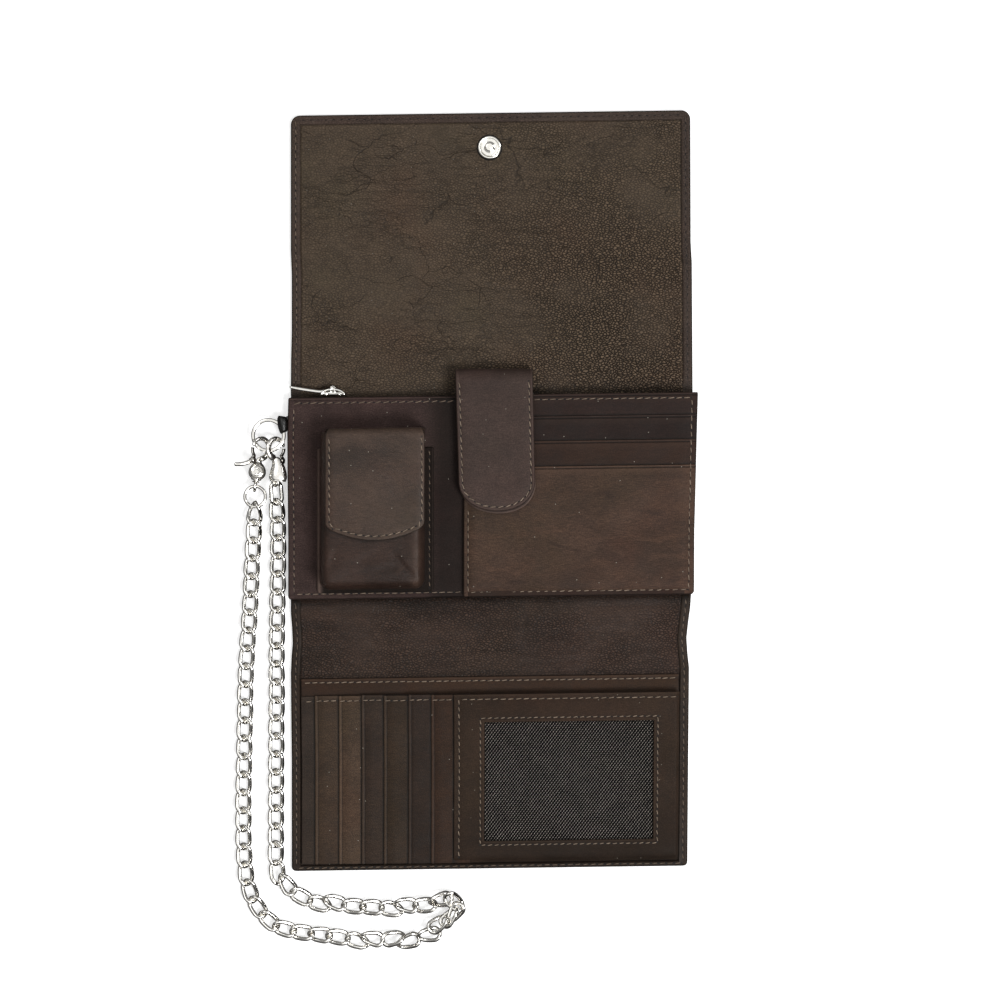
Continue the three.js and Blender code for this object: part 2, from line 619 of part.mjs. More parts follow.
// joints one straight pitch apart, following a curve through the path's points
function jointsAlong(path, count) {
  const points = path.map(([x, y, z]) => vector(x, y, z));
  const dense = new THREE.CatmullRomCurve3(points, false, "centripetal").getSpacedPoints(1200);
  const joints = [dense[0].clone()];
  let at = 0;
  for (let i = 0; i < count; i++) {
    const from = joints[i];
    while (at < dense.length - 1 && dense[at].distanceTo(from) < LINK.pitch) at++;
    const direction = dense[at].clone().sub(from).normalize();
    joints.push(from.clone().add(direction.multiplyScalar(LINK.pitch)));
  }
  return joints;
}
// adds one mesh per segment, and returns the joints as [x, y, z]
function addStrand(name, path, segmentSizes, startRoll) {
  const joints = jointsAlong(path, segmentSizes.reduce((sum, size) => sum + size));
  let k = 0;
  segmentSizes.forEach((size, segment) => {
    const parts = [];
    for (let j = 0; j < size; j++, k++) {
      const [start, end] = [joints[k], joints[k + 1]];
      const along = end.clone().sub(start).normalize();
      const side = vector().crossVectors(along, vector(0, 0, 1)).normalize();
      const middle = start.clone().add(end).multiplyScalar(0.5);
      parts.push(place(link(k === 0 ? startRoll : -LINK.twist), middle, side, along));
      // bead that joins neighbours inside a segment
      if (j > 0) parts.push(place(new THREE.BoxGeometry(0.7, 1.6, 0.7), start, side, along));
    }
    addChrome(`${name}_${segment + 1}`, fromSolid(union(...parts)), POLISH.ring);
  });
  return joints.map(joint => joint.toArray());
}

const CHAIN_Z = 1.9;             // height of the chain where it lies flat
const lying = points => points.map(([x, y]) => [x, y, CHAIN_Z]);
// x, y, z down from the hardware, then x, y of the flat run
const LEFT_PATH = [
  [eyeCentre.x, eyeCentre.y - 2 * SMALL_R + 0.95, HARDWARE_Z],
  [-101.5, -12.0, 3.4], [-102.0, -20.2, 2.3],
  ...lying([
    [-102.6, -28], [-103.2, -43.0], [-104.1, -58.5], [-105.2, -74], [-105.4, -81.7],
    [-106.2, -126.4], [-105.8, -156.0], [-104.4, -167.5], [-100.2, -177.3], [-95.0, -182.8],
    [-89.9, -186.2], [-82.4, -187.0], [-74.7, -188.4], [-66.9, -189.2], [-59.2, -190.3],
    [-47.7, -190.8], [-38.1, -190.6], [-28.0, -189.0], [-21.5, -184.5], [-16.4, -179.5],
  ]),
];
const RIGHT_PATH = [
  [-92.4, 5.17, HARDWARE_Z], [-92.0, -2, 3.4], [-91.5, -11.6, 2.3],
  ...lying([
    [-91.4, -26.7], [-91.8, -50.3], [-92.0, -81.3], [-92.3, -130], [-92.4, -149.9],
    [-92.2, -158.0], [-89.9, -165.4], [-85.2, -170.2], [-79.5, -173.5], [-70.6, -174.8],
    [-62.5, -175.8], [-55.0, -176.6], [-47.0, -176.8], [-39.1, -176.6], [-30.0, -175.9],
    [-24.0, -175.0],
  ]),
];
// link pivots of both strands, kept with the model for whoever sets the joints
group.userData.pivots = {
  left: addStrand("chain_left", LEFT_PATH, [6, 6, 6, 6, 6, 5], -75),
  right: addStrand("chain_right", RIGHT_PATH, [6, 6, 6, 6, 6], 42),
};

export default group;
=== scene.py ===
# Chain wallet lying open on the floor plane z = 0, its inside facing up (+z).
# x runs across the wallet; y runs from the bottom panel (-y), past the middle block round y = 0,
# to the top flap (+y). The chain hangs down the left (-x) side and curls below the wallet.
# Lengths are millimetres here and become metres in build(). Left is -x, top is +y.
from functools import partial
from math import cos, hypot, pi, radians, sin, sqrt
import bpy
import numpy as np
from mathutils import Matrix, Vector


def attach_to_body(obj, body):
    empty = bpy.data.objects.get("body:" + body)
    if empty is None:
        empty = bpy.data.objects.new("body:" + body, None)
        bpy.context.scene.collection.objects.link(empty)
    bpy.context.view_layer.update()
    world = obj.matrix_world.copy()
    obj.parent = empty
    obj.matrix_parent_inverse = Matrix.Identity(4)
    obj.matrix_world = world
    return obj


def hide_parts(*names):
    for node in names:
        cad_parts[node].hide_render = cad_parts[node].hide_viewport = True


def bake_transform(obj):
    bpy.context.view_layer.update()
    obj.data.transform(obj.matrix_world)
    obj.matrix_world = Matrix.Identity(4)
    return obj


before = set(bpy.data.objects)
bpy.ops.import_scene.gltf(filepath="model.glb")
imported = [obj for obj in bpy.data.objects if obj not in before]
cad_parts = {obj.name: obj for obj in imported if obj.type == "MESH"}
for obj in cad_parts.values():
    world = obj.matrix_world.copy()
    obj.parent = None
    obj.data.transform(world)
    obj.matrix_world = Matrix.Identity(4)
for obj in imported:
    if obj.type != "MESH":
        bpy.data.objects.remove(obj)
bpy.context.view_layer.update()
MM = 0.001

# ------------------------------------------------------------------ main dimensions
COVER_LEFT, COVER_RIGHT = -86.0, 85.8
FLAP_TOP, BOTTOM_EDGE = 164.6, -160.0
COVER_MIDDLE = 5.0                      # where the upper and lower cover sheets meet
BLOCK = (-86.8, 88.4, -43.3, 43.3)      # boxes are left, right, bottom, top
BLOCK_LEFT, BLOCK_RIGHT, BLOCK_BOTTOM, BLOCK_TOP = BLOCK
SLOPE = 0.0137                          # the rows climb this much per mm to the right
STUD = (-0.6, 149.6)
SOCKET = (-0.6, -116.4)
RING_CENTRE, RING_RADIUS, HARDWARE_Z = (-95.4, 26.0), 6.6, 4.3
CLASP_TILT = radians(42)

TAB_LEFT, TAB_RIGHT, TAB_TIP, TAB_SHOULDER = -15.0, 18.4, -6.5, 6.0
TAB_UNDER_Z, TAB_PLY_Z, TAB_TOP_Z = 9.2, 10.35, 11.6
TAB_ROOT_Y = 49.3
TAB_CENTRE, TAB_HALF = (TAB_LEFT + TAB_RIGHT) / 2, (TAB_RIGHT - TAB_LEFT) / 2

MESH_PITCH_X, MESH_PITCH_Y = 1.33, 0.87
SEAM_LINES = (-0.5, 0, 0.5)             # grid lines across a stitch groove


# ------------------------------------------------------------------ seeded noise and falloffs
def cell_hash(ix, iy, seed):
    n = (ix * 374761393 + iy * 668265263 + seed * 974634777) & 0xFFFFFFFF
    n = ((n ^ (n >> 13)) * 1274126177) & 0xFFFFFFFF
    n = ((n ^ (n >> 15)) * 2246822519) & 0xFFFFFFFF
    return ((n ^ (n >> 16)) & 0xFFFF) / 65535.0


def vnoise(x, y, seed=0):
    """value noise, 0..1"""
    xi, yi = np.floor(x).astype(np.int64), np.floor(y).astype(np.int64)
    fx, fy = x - xi, y - yi
    u = fx * fx * fx * (fx * (fx * 6 - 15) + 10)
    v = fy * fy * fy * (fy * (fy * 6 - 15) + 10)
    low = cell_hash(xi, yi, seed) * (1 - u) + cell_hash(xi + 1, yi, seed) * u
    high = cell_hash(xi, yi + 1, seed) * (1 - u) + cell_hash(xi + 1, yi + 1, seed) * u
    return low * (1 - v) + high * v


def fbm(x, y, seed, octaves):
    """layered noise, about -1..1"""
    total, weight, weights = 0.0, 0.5, 0.0
    for i in range(octaves):
        layer = vnoise(x * 2**i + 17.3 * i, y * 2**i - 9.1 * i, seed + i)
        total = total + weight * (layer - 0.5)
        weights += weight
        weight *= 0.5
    return total / weights * 2


def ease(start, end, x):
    """smooth step from 0 at start to 1 at end"""
    t = np.clip((x - start) / (end - start), 0, 1)
    return t * t * (3 - 2 * t)


def bell(x, width):
    return np.exp(-(x / width) ** 2)


def roll(distance, width):
    """quarter-round rise from a rim"""
    t = np.clip(np.asarray(distance, float) / width, 0, 1)
    return np.sqrt(np.clip(1 - (1 - t) ** 2, 0, 1))


def dome(distance, width=4.5, power=3.0):
    t = np.clip(distance / width, 0, 1)
    return np.clip(1 - (1 - t) ** power, 0, 1) ** (1 / power)


def nearest(*distances):
    return np.minimum.reduce(distances)


def inset(x, y, box):
    """distance inside the rim of a box (left, right, bottom, top)"""
    left, right, bottom, top = box
    return np.maximum(nearest(x - left, right - x, y - bottom, top - y), 0)


def folds(x, y, rows, wander, reach, lip, lip_shift, lip_width):
    """depth of long creases, each with a raised lip beside it
    rows: middle x, middle y, turn (rad), length, width, depth"""
    total = 0
    for x0, y0, turn, length, width, depth in rows:
        along = (x - x0) * cos(turn) + (y - y0) * sin(turn)
        across = -(x - x0) * sin(turn) + (y - y0) * cos(turn) + wander
        ridge = lip * bell(across - lip_shift * width, lip_width * width)
        total = total + depth * bell(along, length * reach) * (bell(across, width) - ridge)
    return total


# ------------------------------------------------------------------ mesh building
def build(name, verts, faces, material, rest=None, edge=None, lite=None, sharp=50):
    """mesh object from mm vertices; rest is the flat position patterns are laid on,
    edge darkens the leather with burnished rims and painted shade, lite lightens it with
    painted highlights; sharp is the crease angle, 0 for none"""
    verts = np.asarray(verts, float)
    if isinstance(faces, np.ndarray):
        faces = faces.tolist()
    mesh = bpy.data.meshes.new(name)
    mesh.from_pydata((verts * MM).tolist(), [], faces)
    mesh.validate()
    mesh.polygons.foreach_set("use_smooth", [True] * len(mesh.polygons))
    if sharp:
        mesh.set_sharp_from_angle(angle=radians(sharp))
    attribute = mesh.attributes.new("rp", "FLOAT_VECTOR", "POINT")
    rest = verts if rest is None else rest
    attribute.data.foreach_set("vector", np.asarray(rest, np.float32).ravel())
    for label, values in (("edge", edge), ("lite", lite)):
        attribute = mesh.attributes.new(label, "FLOAT", "POINT")
        values = np.zeros(len(verts)) if values is None else np.asarray(values)
        attribute.data.foreach_set("value", values.astype(np.float32))
    mesh.materials.append(material)
    obj = bpy.data.objects.new(name, mesh)
    bpy.context.scene.collection.objects.link(obj)
    return obj


def attach(obj, body=None, blend=None, slot="", replaces=()):
    if blend:
        first, second, start, end = blend
        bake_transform(obj)
    else:
        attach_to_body(obj, body)
    if replaces:
        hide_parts(*replaces)


def thin(values, gap):
    """drop values closer than gap to the one kept before"""
    kept = [values[0]]
    for value in values[1:]:
        if value - kept[-1] > gap:
            kept.append(value)
    return kept


ROLL_LINES = [0, 0.04, 0.13, 0.28, 0.5, 0.8, 1.2]


def grid_lines(start, end, step, rolled=(True, True), fine=()):
    """lines from start to end, closer at rolled ends and at the (place, offsets) in fine"""
    close = [start, end]
    if rolled[0]:
        close += [start + r for r in ROLL_LINES]
    if rolled[1]:
        close += [end - r for r in ROLL_LINES]
    for place, offsets in fine:
        close += [place + offset for offset in offsets]
    close = sorted(set(round(v, 4) for v in close if start - 1e-6 <= v <= end + 1e-6))
    close = thin(close, 0.015)
    even = np.linspace(start, end, max(2, int(round((end - start) / step)) + 1))
    spaced = [v for v in even if np.min(np.abs(np.array(close) - v)) > 0.3 * step]
    return np.array(sorted(close + spaced))


def plain_lines(start, end, step, fine=()):
    return grid_lines(start, end, step, (False, False), fine)


def merged(*parts):
    return np.unique(np.concatenate(parts))


def rounded(box, radii):
    """map of a box onto one with rounded corners; radii: bottom left, bottom right,
    top right, top left"""
    left, right, bottom, top = box
    places = ((left, bottom, -1, -1), (right, bottom, 1, -1), (right, top, 1, 1), (left, top, -1, 1))

    def shape(x, y):
        x, y = x.copy(), y.copy()
        for (corner_x, corner_y, side_x, side_y), radius in zip(places, radii):
            if radius <= 0:
                continue
            ox, oy = corner_x - side_x * radius, corner_y - side_y * radius
            a, b = (x - ox) * side_x / radius, (y - oy) * side_y / radius
            inside = (a > 0) & (b > 0) & (a <= 1.001) & (b <= 1.001)
            round_a = a * np.sqrt(np.clip(1 - b * b / 2, 0, 1))
            round_b = b * np.sqrt(np.clip(1 - a * a / 2, 0, 1))
            x = np.where(inside, ox + side_x * round_a * radius, x)
            y = np.where(inside, oy + side_y * round_b * radius, y)
        return x, y
    return shape


def slab(name, xs, ys, top, under, material, warp, shape=None, keep=None, edge=None, lite=None):
    """closed sheet on a grid: height functions for the upper and under faces, walls at the rim"""
    x, y = np.meshgrid(xs, ys, indexing="ij")
    count = x.size
    top_z = top(x, y)
    under_z = under(x, y) if callable(under) else np.full(x.shape, float(under))
    flat_x, flat_y = shape(x, y) if shape else (x, y)
    grid = np.arange(count).reshape(x.shape)
    mid_x, mid_y = (x[:-1, :-1] + x[1:, 1:]) / 2, (y[:-1, :-1] + y[1:, 1:]) / 2
    kept = np.ones(mid_x.shape, bool) if keep is None else keep(mid_x, mid_y)
    a, b, c, d = grid[:-1, :-1], grid[1:, :-1], grid[1:, 1:], grid[:-1, 1:]
    faces = [np.stack([a[kept], b[kept], c[kept], d[kept]], 1),
             np.stack([a[kept], d[kept], c[kept], b[kept]], 1) + count]
    around = np.pad(kept, 1)
    rims = ((around[1:-1, :-2], a, b), (around[2:, 1:-1], b, c),
            (around[1:-1, 2:], c, d), (around[:-2, 1:-1], d, a))
    for beyond, p, q in rims:
        wall = kept & ~beyond
        faces.append(np.stack([p[wall] + count, q[wall] + count, q[wall], p[wall]], 1))
    verts = np.concatenate([np.stack([flat_x.ravel(), flat_y.ravel(), z.ravel()], 1)
                            for z in (top_z, under_z)])
    faces = np.concatenate(faces)
    used = np.unique(faces)
    number = np.full(len(verts), -1)
    number[used] = np.arange(len(used))
    shades = [np.tile(f(x, y).ravel() if f else np.zeros(count), 2)[used] for f in (edge, lite)]
    return build(name, warp(verts[used]), number[faces], material, verts[used], *shades)


def sheet_faces(nx, ny, flip=False):
    """face groups of a closed sheet of two grids: front, back, then the rims at
    low y, high y, high x and low x"""
    count = nx * ny
    grid = np.arange(count).reshape(nx, ny)
    a, b, c, d = (g.ravel() for g in (grid[:-1, :-1], grid[1:, :-1], grid[1:, 1:], grid[:-1, 1:]))
    front, back = np.stack([a, b, c, d], 1), np.stack([a, d, c, b], 1)
    rims = [np.stack([p + count, q + count, q, p], 1) for p, q in (
        (grid[:-1, 0], grid[1:, 0]), (grid[1:, -1], grid[:-1, -1]),
        (grid[-1, :-1], grid[-1, 1:]), (grid[0, 1:], grid[0, :-1]))]
    if flip:
        front, back = back, front
        rims = [rim[:, ::-1] for rim in rims]
    return [front, back + count] + rims


def shell(name, front, back, material, warp, rest, edge, lite, flip=False):
    """closed sheet between two (nx, ny, 3) grids of points"""
    verts = np.concatenate([front.reshape(-1, 3), back.reshape(-1, 3)])
    faces = np.concatenate(sheet_faces(front.shape[0], front.shape[1], flip))
    rest = verts if rest is None else np.tile(rest.reshape(-1, 3), (2, 1))
    return build(name, warp(verts), faces, material, rest, edge, lite, sharp=60)


def ring_faces(rings, sides, closed=False, flip=False):
    """quads between successive rings of vertices, with end caps unless closed"""
    faces = []
    for i in range(rings if closed else rings - 1):
        step = ((i + 1) % rings - i) * sides
        for j in range(sides):
            a, b = i * sides + j, i * sides + (j + 1) % sides
            faces.append([a, a + step, b + step, b] if flip else [a, b, b + step, a + step])
    if not closed:
        first = list(range(sides))
        last = [(rings - 1) * sides + j for j in first]
        faces += [first, last[::-1]] if flip else [first[::-1], last]
    return faces


def outward(verts, faces):
    """turn all faces round if the closed mesh is inside out"""
    volume = 0.0
    for f in faces:
        for q in range(1, len(f) - 1):
            volume += np.dot(verts[f[0]], np.cross(verts[f[q]], verts[f[q + 1]]))
    return [f[::-1] for f in faces] if volume < 0 else faces


def join(parts):
    verts, faces, start = [], [], 0
    for part_verts, part_faces in parts:
        verts.append(np.asarray(part_verts, float))
        faces += [[q + start for q in f] for f in part_faces]
        start += len(part_verts)
    return np.concatenate(verts), faces


def radii(size, count, ends):
    """radius at each point: a number or (places 0..1, values), rounded off over the end points"""
    if isinstance(size, tuple):
        size = np.interp(np.linspace(0, 1, count), *size)
    radius = np.full(count, size, float)
    for i in range(ends):
        factor = sqrt(1 - (1 - (i + 0.35) / ends) ** 2)
        radius[i] *= factor
        radius[-1 - i] *= factor
    return radius


def tube(path, width, height=None, sides=12, ends=(0, 0), closed=False, up=(0, 0, 1)):
    """oval tube along a path: height is its radius towards up, width its radius across"""
    path = np.asarray(path, float)
    count = len(path)
    wide = radii(width, count, ends[0])[:, None]
    high = wide if height is None else radii(height, count, ends[1])[:, None]
    along = np.roll(path, -1, 0) - np.roll(path, 1, 0) if closed else np.gradient(path, axis=0)
    along /= np.linalg.norm(along, axis=1)[:, None]
    up = np.array(up, float)
    normal = up - along * (along @ up)[:, None]
    normal /= np.linalg.norm(normal, axis=1)[:, None]
    across = np.cross(along, normal)
    angle = 2 * pi * np.arange(sides) / sides
    verts = (path[:, None] + across[:, None] * (wide * np.cos(angle))[..., None]
             + normal[:, None] * (high * np.sin(angle))[..., None]).reshape(-1, 3)
    return verts, outward(verts, ring_faces(count, sides, closed))


def oval(centre, first, second, count):
    """closed path centre + first cos + second sin"""
    angle = (2 * pi * np.arange(count) / count)[:, None]
    return np.array(centre) + np.cos(angle) * np.array(first) + np.sin(angle) * np.array(second)


def pin(x, y, z0, z1, count, radius, end):
    path = np.stack([np.full(count, x), np.full(count, y), np.linspace(z0, z1, count)], 1)
    return tube(path, radius, ends=(end, 0), up=(1, 0, 0))


def spline(points, count):
    """Catmull-Rom curve through points"""
    p = np.array(points, float)
    p = np.vstack([2 * p[0] - p[1], p, 2 * p[-1] - p[-2]])
    spans = len(p) - 3
    curve = []
    for i in range(count):
        u = i / (count - 1) * spans
        k = min(int(u), spans - 1)
        t = u - k
        a, b, c, d = p[k:k + 4]
        curve.append(0.5 * ((2 * b) + (-a + c) * t + (2 * a - 5 * b + 4 * c - d) * t * t
                            + (-a + 3 * b - 3 * c + d) * t ** 3))
    return np.array(curve)


def plate(outline, z0, z1, bevel=0.12):
    """flat plate from an outline with bevelled rims"""
    rim = np.array(outline, float)
    following = np.roll(rim, -1, 0)
    if 0.5 * np.sum(rim[:, 0] * following[:, 1] - following[:, 0] * rim[:, 1]) < 0:
        rim = rim[::-1]
    along = np.roll(rim, -1, 0) - np.roll(rim, 1, 0)
    along /= np.linalg.norm(along, axis=1)[:, None] + 1e-9
    small = rim - np.stack([along[:, 1], -along[:, 0]], 1) * bevel
    levels = ((small, z0), (rim, z0 + bevel), (rim, z1 - bevel), (small, z1))
    return np.array([(x, y, z) for ring, z in levels for x, y in ring]), ring_faces(4, len(rim))


def disc(x, y, radius, z0, z1, sides=24, bevel=0.12):
    return plate(oval((x, y, 0), (radius, 0, 0), (0, radius, 0), sides)[:, :2], z0, z1, bevel)


def turned(profile, sides, centre):
    """(radius, z) profile turned about an upright axis"""
    rows = len(profile)
    verts, faces = [], []
    for i in range(sides):
        angle = 2 * pi * i / sides
        verts += [(centre[0] + r * cos(angle), centre[1] + r * sin(angle), z) for r, z in profile]
        for j in range(rows - 1):
            p, q = i * rows + j, ((i + 1) % sides) * rows + j
            faces.append([p, q, q + 1, p + 1])
    faces.append([i * rows for i in reversed(range(sides))])
    faces.append([i * rows + rows - 1 for i in range(sides)])
    return verts, faces


def turned_y(profile, sides, flatten=1.0):
    """(radius, y) profile turned about local y, flattened in z"""
    verts = [(r * cos(2 * pi * j / sides), y, r * sin(2 * pi * j / sides) * flatten)
             for r, y in profile for j in range(sides)]
    return np.array(verts), ring_faces(len(profile), sides, flip=True)


# ------------------------------------------------------------------ outline warps
# outline tables: y, x of the real edge at that y
COVER_LEFT_EDGE = [
    (-165, -85.6), (-112, -85.6), (-96, -85.8), (-75, -86.0), (-68, -85.7), (-62, -85.2),
    (-55, -85.5), (-49, -86.0), (-40, -86.0), (48, -86.0), (60, -85.9), (72, -85.6),
    (96, -85.6), (106, -86.0), (170, -86.0)]
COVER_RIGHT_EDGE = [
    (-165, 84.4), (-157, 84.4), (-107, 84.8), (-75, 85.1), (-68.4, 84.4), (-62, 84.0),
    (-55.5, 84.7), (-49, 85.6), (-40, 86.2), (40, 86.6), (50, 86.6), (99, 86.3),
    (108, 85.8), (170, 85.6)]
BLOCK_LEFT_EDGE = [(-50, -86.9), (-17, -86.9), (9, -87.2), (28, -87.3), (41, -86.9), (50, -86.8)]
BLOCK_RIGHT_EDGE = [
    (-50, 86.8), (-42, 86.9), (-17, 87.0), (-6, 87.3), (9, 87.7), (28, 88.2), (41, 88.6),
    (50, 88.7)]


def warp_edges(verts, flat_left, flat_right, left_edge, right_edge):
    """stretch flat rows between the real edges and slope them"""
    x, y, z = verts.T
    left = np.interp(y, *zip(*left_edge))
    right = np.interp(y, *zip(*right_edge))
    x = left + (x - flat_left) / (flat_right - flat_left) * (right - left)
    return np.stack([x, y + SLOPE * x, z], 1)


def warp_cover(verts):
    return warp_edges(verts, COVER_LEFT, COVER_RIGHT, COVER_LEFT_EDGE, COVER_RIGHT_EDGE)


def warp_block(verts):
    return warp_edges(verts, BLOCK_LEFT, BLOCK_RIGHT, BLOCK_LEFT_EDGE, BLOCK_RIGHT_EDGE)


def warp_pouch(verts):
    x, y, z = verts.T
    return np.stack([x, y + SLOPE * (x + 50), z], 1)


def warp_tab(verts):
    x, y, z = verts.T
    centre = np.interp(y, [-7, 6, 55], [2.55, 2.5, 1.2])
    half = np.interp(y, [-7, 6, 55], [16.35, 16.4, 16.6])
    return np.stack([centre + (x - TAB_CENTRE) * (half / TAB_HALF), y, z], 1)


# ------------------------------------------------------------------ node trees
def linear(rgb):
    """linear colour from sRGB 0..255"""
    return tuple(((v / 255) / 12.92 if v / 255 <= 0.04045 else ((v / 255 + 0.055) / 1.055) ** 2.4)
                 for v in rgb) + (1.0,)


def shade(base, red, green=None, blue=None):
    """base colour times one factor, or one for each channel"""
    factors = (red, red, red) if green is None else (red, green, blue)
    return tuple(v * factor for v, factor in zip(base, factors)) + (1,)


class Nodes:
    """builds a node tree; values may be numbers or sockets"""

    def __init__(self, tree):
        self.tree = tree
        tree.nodes.clear()

    def put(self, socket, value):
        if isinstance(value, bpy.types.NodeSocket):
            self.tree.links.new(value, socket)
        else:
            socket.default_value = value

    def node(self, kind, inputs=None, **props):
        node = self.tree.nodes.new(kind)
        for key, value in props.items():
            setattr(node, key, value)
        for key, value in (inputs or {}).items():
            self.put(node.inputs[key], value)
        return node

    def math(self, operation, *values, clamp=False):
        return self.node("ShaderNodeMath", dict(enumerate(values)), operation=operation,
                         use_clamp=clamp).outputs[0]

    def times(self, a, b, clamp=False):
        return self.math("MULTIPLY", a, b, clamp=clamp)

    def ramp(self, value, over, to=(0.0, 1.0)):
        """smooth step of value from the span over to the span to"""
        return self.node("ShaderNodeMapRange", dict(enumerate((value, *over, *to))),
                         interpolation_type="SMOOTHSTEP").outputs[0]


class Surface(Nodes):
    """node tree of a new material with one principled shader"""

    def __init__(self, name):
        self.material = bpy.data.materials.new(name)
        self.material.use_nodes = True
        super().__init__(self.material.node_tree)
        output = self.node("ShaderNodeOutputMaterial")
        self.shader = self.node("ShaderNodeBsdfPrincipled")
        self.put(output.inputs[0], self.shader.outputs[0])

    def finish(self, inputs):
        for key, value in inputs.items():
            self.put(self.shader.inputs[key], value)
        return self.material

    def math(self, operation, a, b=0.0, clamp=False):
        return super().math(operation, a, b, 0.0, clamp=clamp)

    def add(self, a, b):
        return self.math("ADD", a, b)

    def strongest(self, masks):
        result = masks[0]
        for mask in masks[1:]:
            result = self.math("MAXIMUM", result, mask)
        return result

    def vector(self, operation, a, b):
        return self.node("ShaderNodeVectorMath", {0: a, 1: b}, operation=operation).outputs[0]

    def mix(self, factor, a, b, blend="MIX"):
        return self.node("ShaderNodeMix", {0: factor, 6: a, 7: b}, data_type="RGBA",
                         blend_type=blend, clamp_factor=True).outputs[2]

    def tone(self, colour, value):
        """colour multiplied by a grey value"""
        grey = self.node("ShaderNodeCombineColor", {0: value, 1: value, 2: value}).outputs[0]
        return self.mix(1.0, colour, grey, "MULTIPLY")

    def noise(self, at, size, detail=3.0, rough=0.5, distortion=0.0, output="Fac"):
        return self.node("ShaderNodeTexNoise", {
            "Vector": at, "Scale": 1 / size, "Detail": detail, "Roughness": rough,
            "Distortion": distortion}).outputs[output]

    def cells(self, at, size, feature):
        return self.node("ShaderNodeTexVoronoi", {"Vector": at, "Scale": 1 / size},
                         feature=feature, voronoi_dimensions="2D")

    def mapped(self, at, turn=0.0, stretch=(1, 1, 1), shift=(0, 0, 0)):
        return self.node("ShaderNodeMapping", {
            "Vector": at, "Rotation": (0, 0, turn), "Scale": stretch, "Location": shift}).outputs[0]

    def attribute(self, name, output="Fac"):
        return self.node("ShaderNodeAttribute", attribute_name=name).outputs[output]

    def rest(self):
        return self.attribute("rp", "Vector")

    def split(self, vector):
        return self.node("ShaderNodeSeparateXYZ", {0: vector}).outputs

    def bump(self, height, strength, distance):
        return self.node("ShaderNodeBump", {
            "Height": height, "Strength": strength, "Distance": distance}).outputs[0]


# ------------------------------------------------------------------ leather
def skin_colour(s, at, base, mid, mottle, red, pull):
    """mottled base colour, drifting warmer and cooler; pull adds stretched light and dark"""
    big = s.noise(s.mapped(at, turn=0.5, stretch=(1, 1.7, 1)), size=30, detail=4, rough=0.55)
    tint = s.noise(s.mapped(at, shift=(400, 90, 0)), size=42, detail=2)
    colour = s.mix(s.ramp(big, over=(0.36, 0.64)), shade(base, 1 - mottle), shade(base, 1 + mottle))
    for span, factors in (((0.5, 0.72), (1.16, 0.95, 0.90)), ((0.5, 0.28), (0.93, 1.0, 0.90))):
        colour = s.mix(s.times(s.ramp(tint, over=span), red), colour, shade(base, *factors))
    colour = s.tone(colour, s.ramp(mid, over=(0.3, 0.7), to=(0.86, 1.14)))
    if pull:
        drawn = s.noise(s.mapped(at, turn=-0.75, stretch=(0.45, 1.5, 1)), size=9, detail=4,
                        rough=0.62, distortion=0.6)
        for span, factors in (((0.50, 0.72), (1.42, 1.34, 1.26)),
                              ((0.44, 0.26), (0.55, 0.56, 0.62))):
            colour = s.mix(s.times(s.ramp(drawn, over=span), pull), colour, shade(base, *factors))
    return colour


def pebbles(s, at, rest, grain, turn, mask):
    """pebble cells, their domed tops, and where the grain shows"""
    turned_at = s.mapped(at, turn=turn, stretch=(1.0, 1.55, 1.0))
    wobble = s.noise(turned_at, size=grain * 2.4, detail=2.0, output="Color")
    wobble = s.vector("MULTIPLY", s.vector("SUBTRACT", wobble, (0.5, 0.5, 0.5)),
                      (grain * 1.5, grain * 1.5, 0))
    cell = s.cells(s.vector("ADD", turned_at, wobble), grain, "DISTANCE_TO_EDGE")
    cell = cell.outputs["Distance"]
    patches = s.noise(s.mapped(at, shift=(70, 900, 0)), size=34)
    shown = s.ramp(patches, over=(0.34, 0.60), to=(0.50, 1.0))
    if mask is not None:
        shown = s.times(shown, mask(s, rest))
    return s.ramp(cell, over=(0.0, 0.26)), s.ramp(cell, over=(0.16, 0.44)), shown


def wrinkle_lines(s, at):
    """many short fine wrinkles, running with the skin"""
    masks = []
    # size, turn, stretch, line width, shift
    for size, turn, stretch, width, shift in (
            (5.0, 0.55, (0.42, 1.5, 1), 0.030, 0.0), (6.5, -0.35, (0.40, 1.5, 1), 0.026, 210.0)):
        waves = s.noise(s.mapped(at, turn, stretch, (shift, shift * 0.7, 0)), size, detail=2,
                        rough=0.45, distortion=0.3)
        shown = s.ramp(s.noise(s.mapped(at, shift=(shift + 15, 60, 0)), size=24),
                       over=(0.42, 0.62))
        line = s.ramp(s.math("ABSOLUTE", s.math("SUBTRACT", waves, 0.5)), (0.0, width), (1.0, 0.0))
        masks.append(s.times(line, shown))
    return s.strongest(masks)


def vein_lines(s, at):
    """long wandering veins along the borders of large cells"""
    wander = s.noise(at, size=15, detail=3.0, output="Color")
    wander = s.vector("MULTIPLY", s.vector("SUBTRACT", wander, (0.5, 0.5, 0.5)), (17, 17, 0))
    masks = []
    # size, turn, stretch, line width, shift
    for size, turn, stretch, width, shift in (
            (36, 0.60, (0.50, 1.25, 1), 0.0105, 0.0), (21, -0.75, (0.55, 1.2, 1), 0.0150, 300.0),
            (15, 0.30, (0.45, 1.3, 1), 0.0165, 700.0)):
        place = s.vector("ADD", s.mapped(at, turn, stretch, (shift, shift * 0.3, 0)), wander)
        border = s.cells(place, size, "DISTANCE_TO_EDGE").outputs["Distance"]
        shown = s.ramp(s.noise(s.mapped(at, shift=(shift + 40, 10, 0)), size=19),
                       over=(0.47, 0.60))
        masks.append(s.times(s.ramp(border, (0.0, width), (1.0, 0.0)), shown))
    return s.strongest(masks)


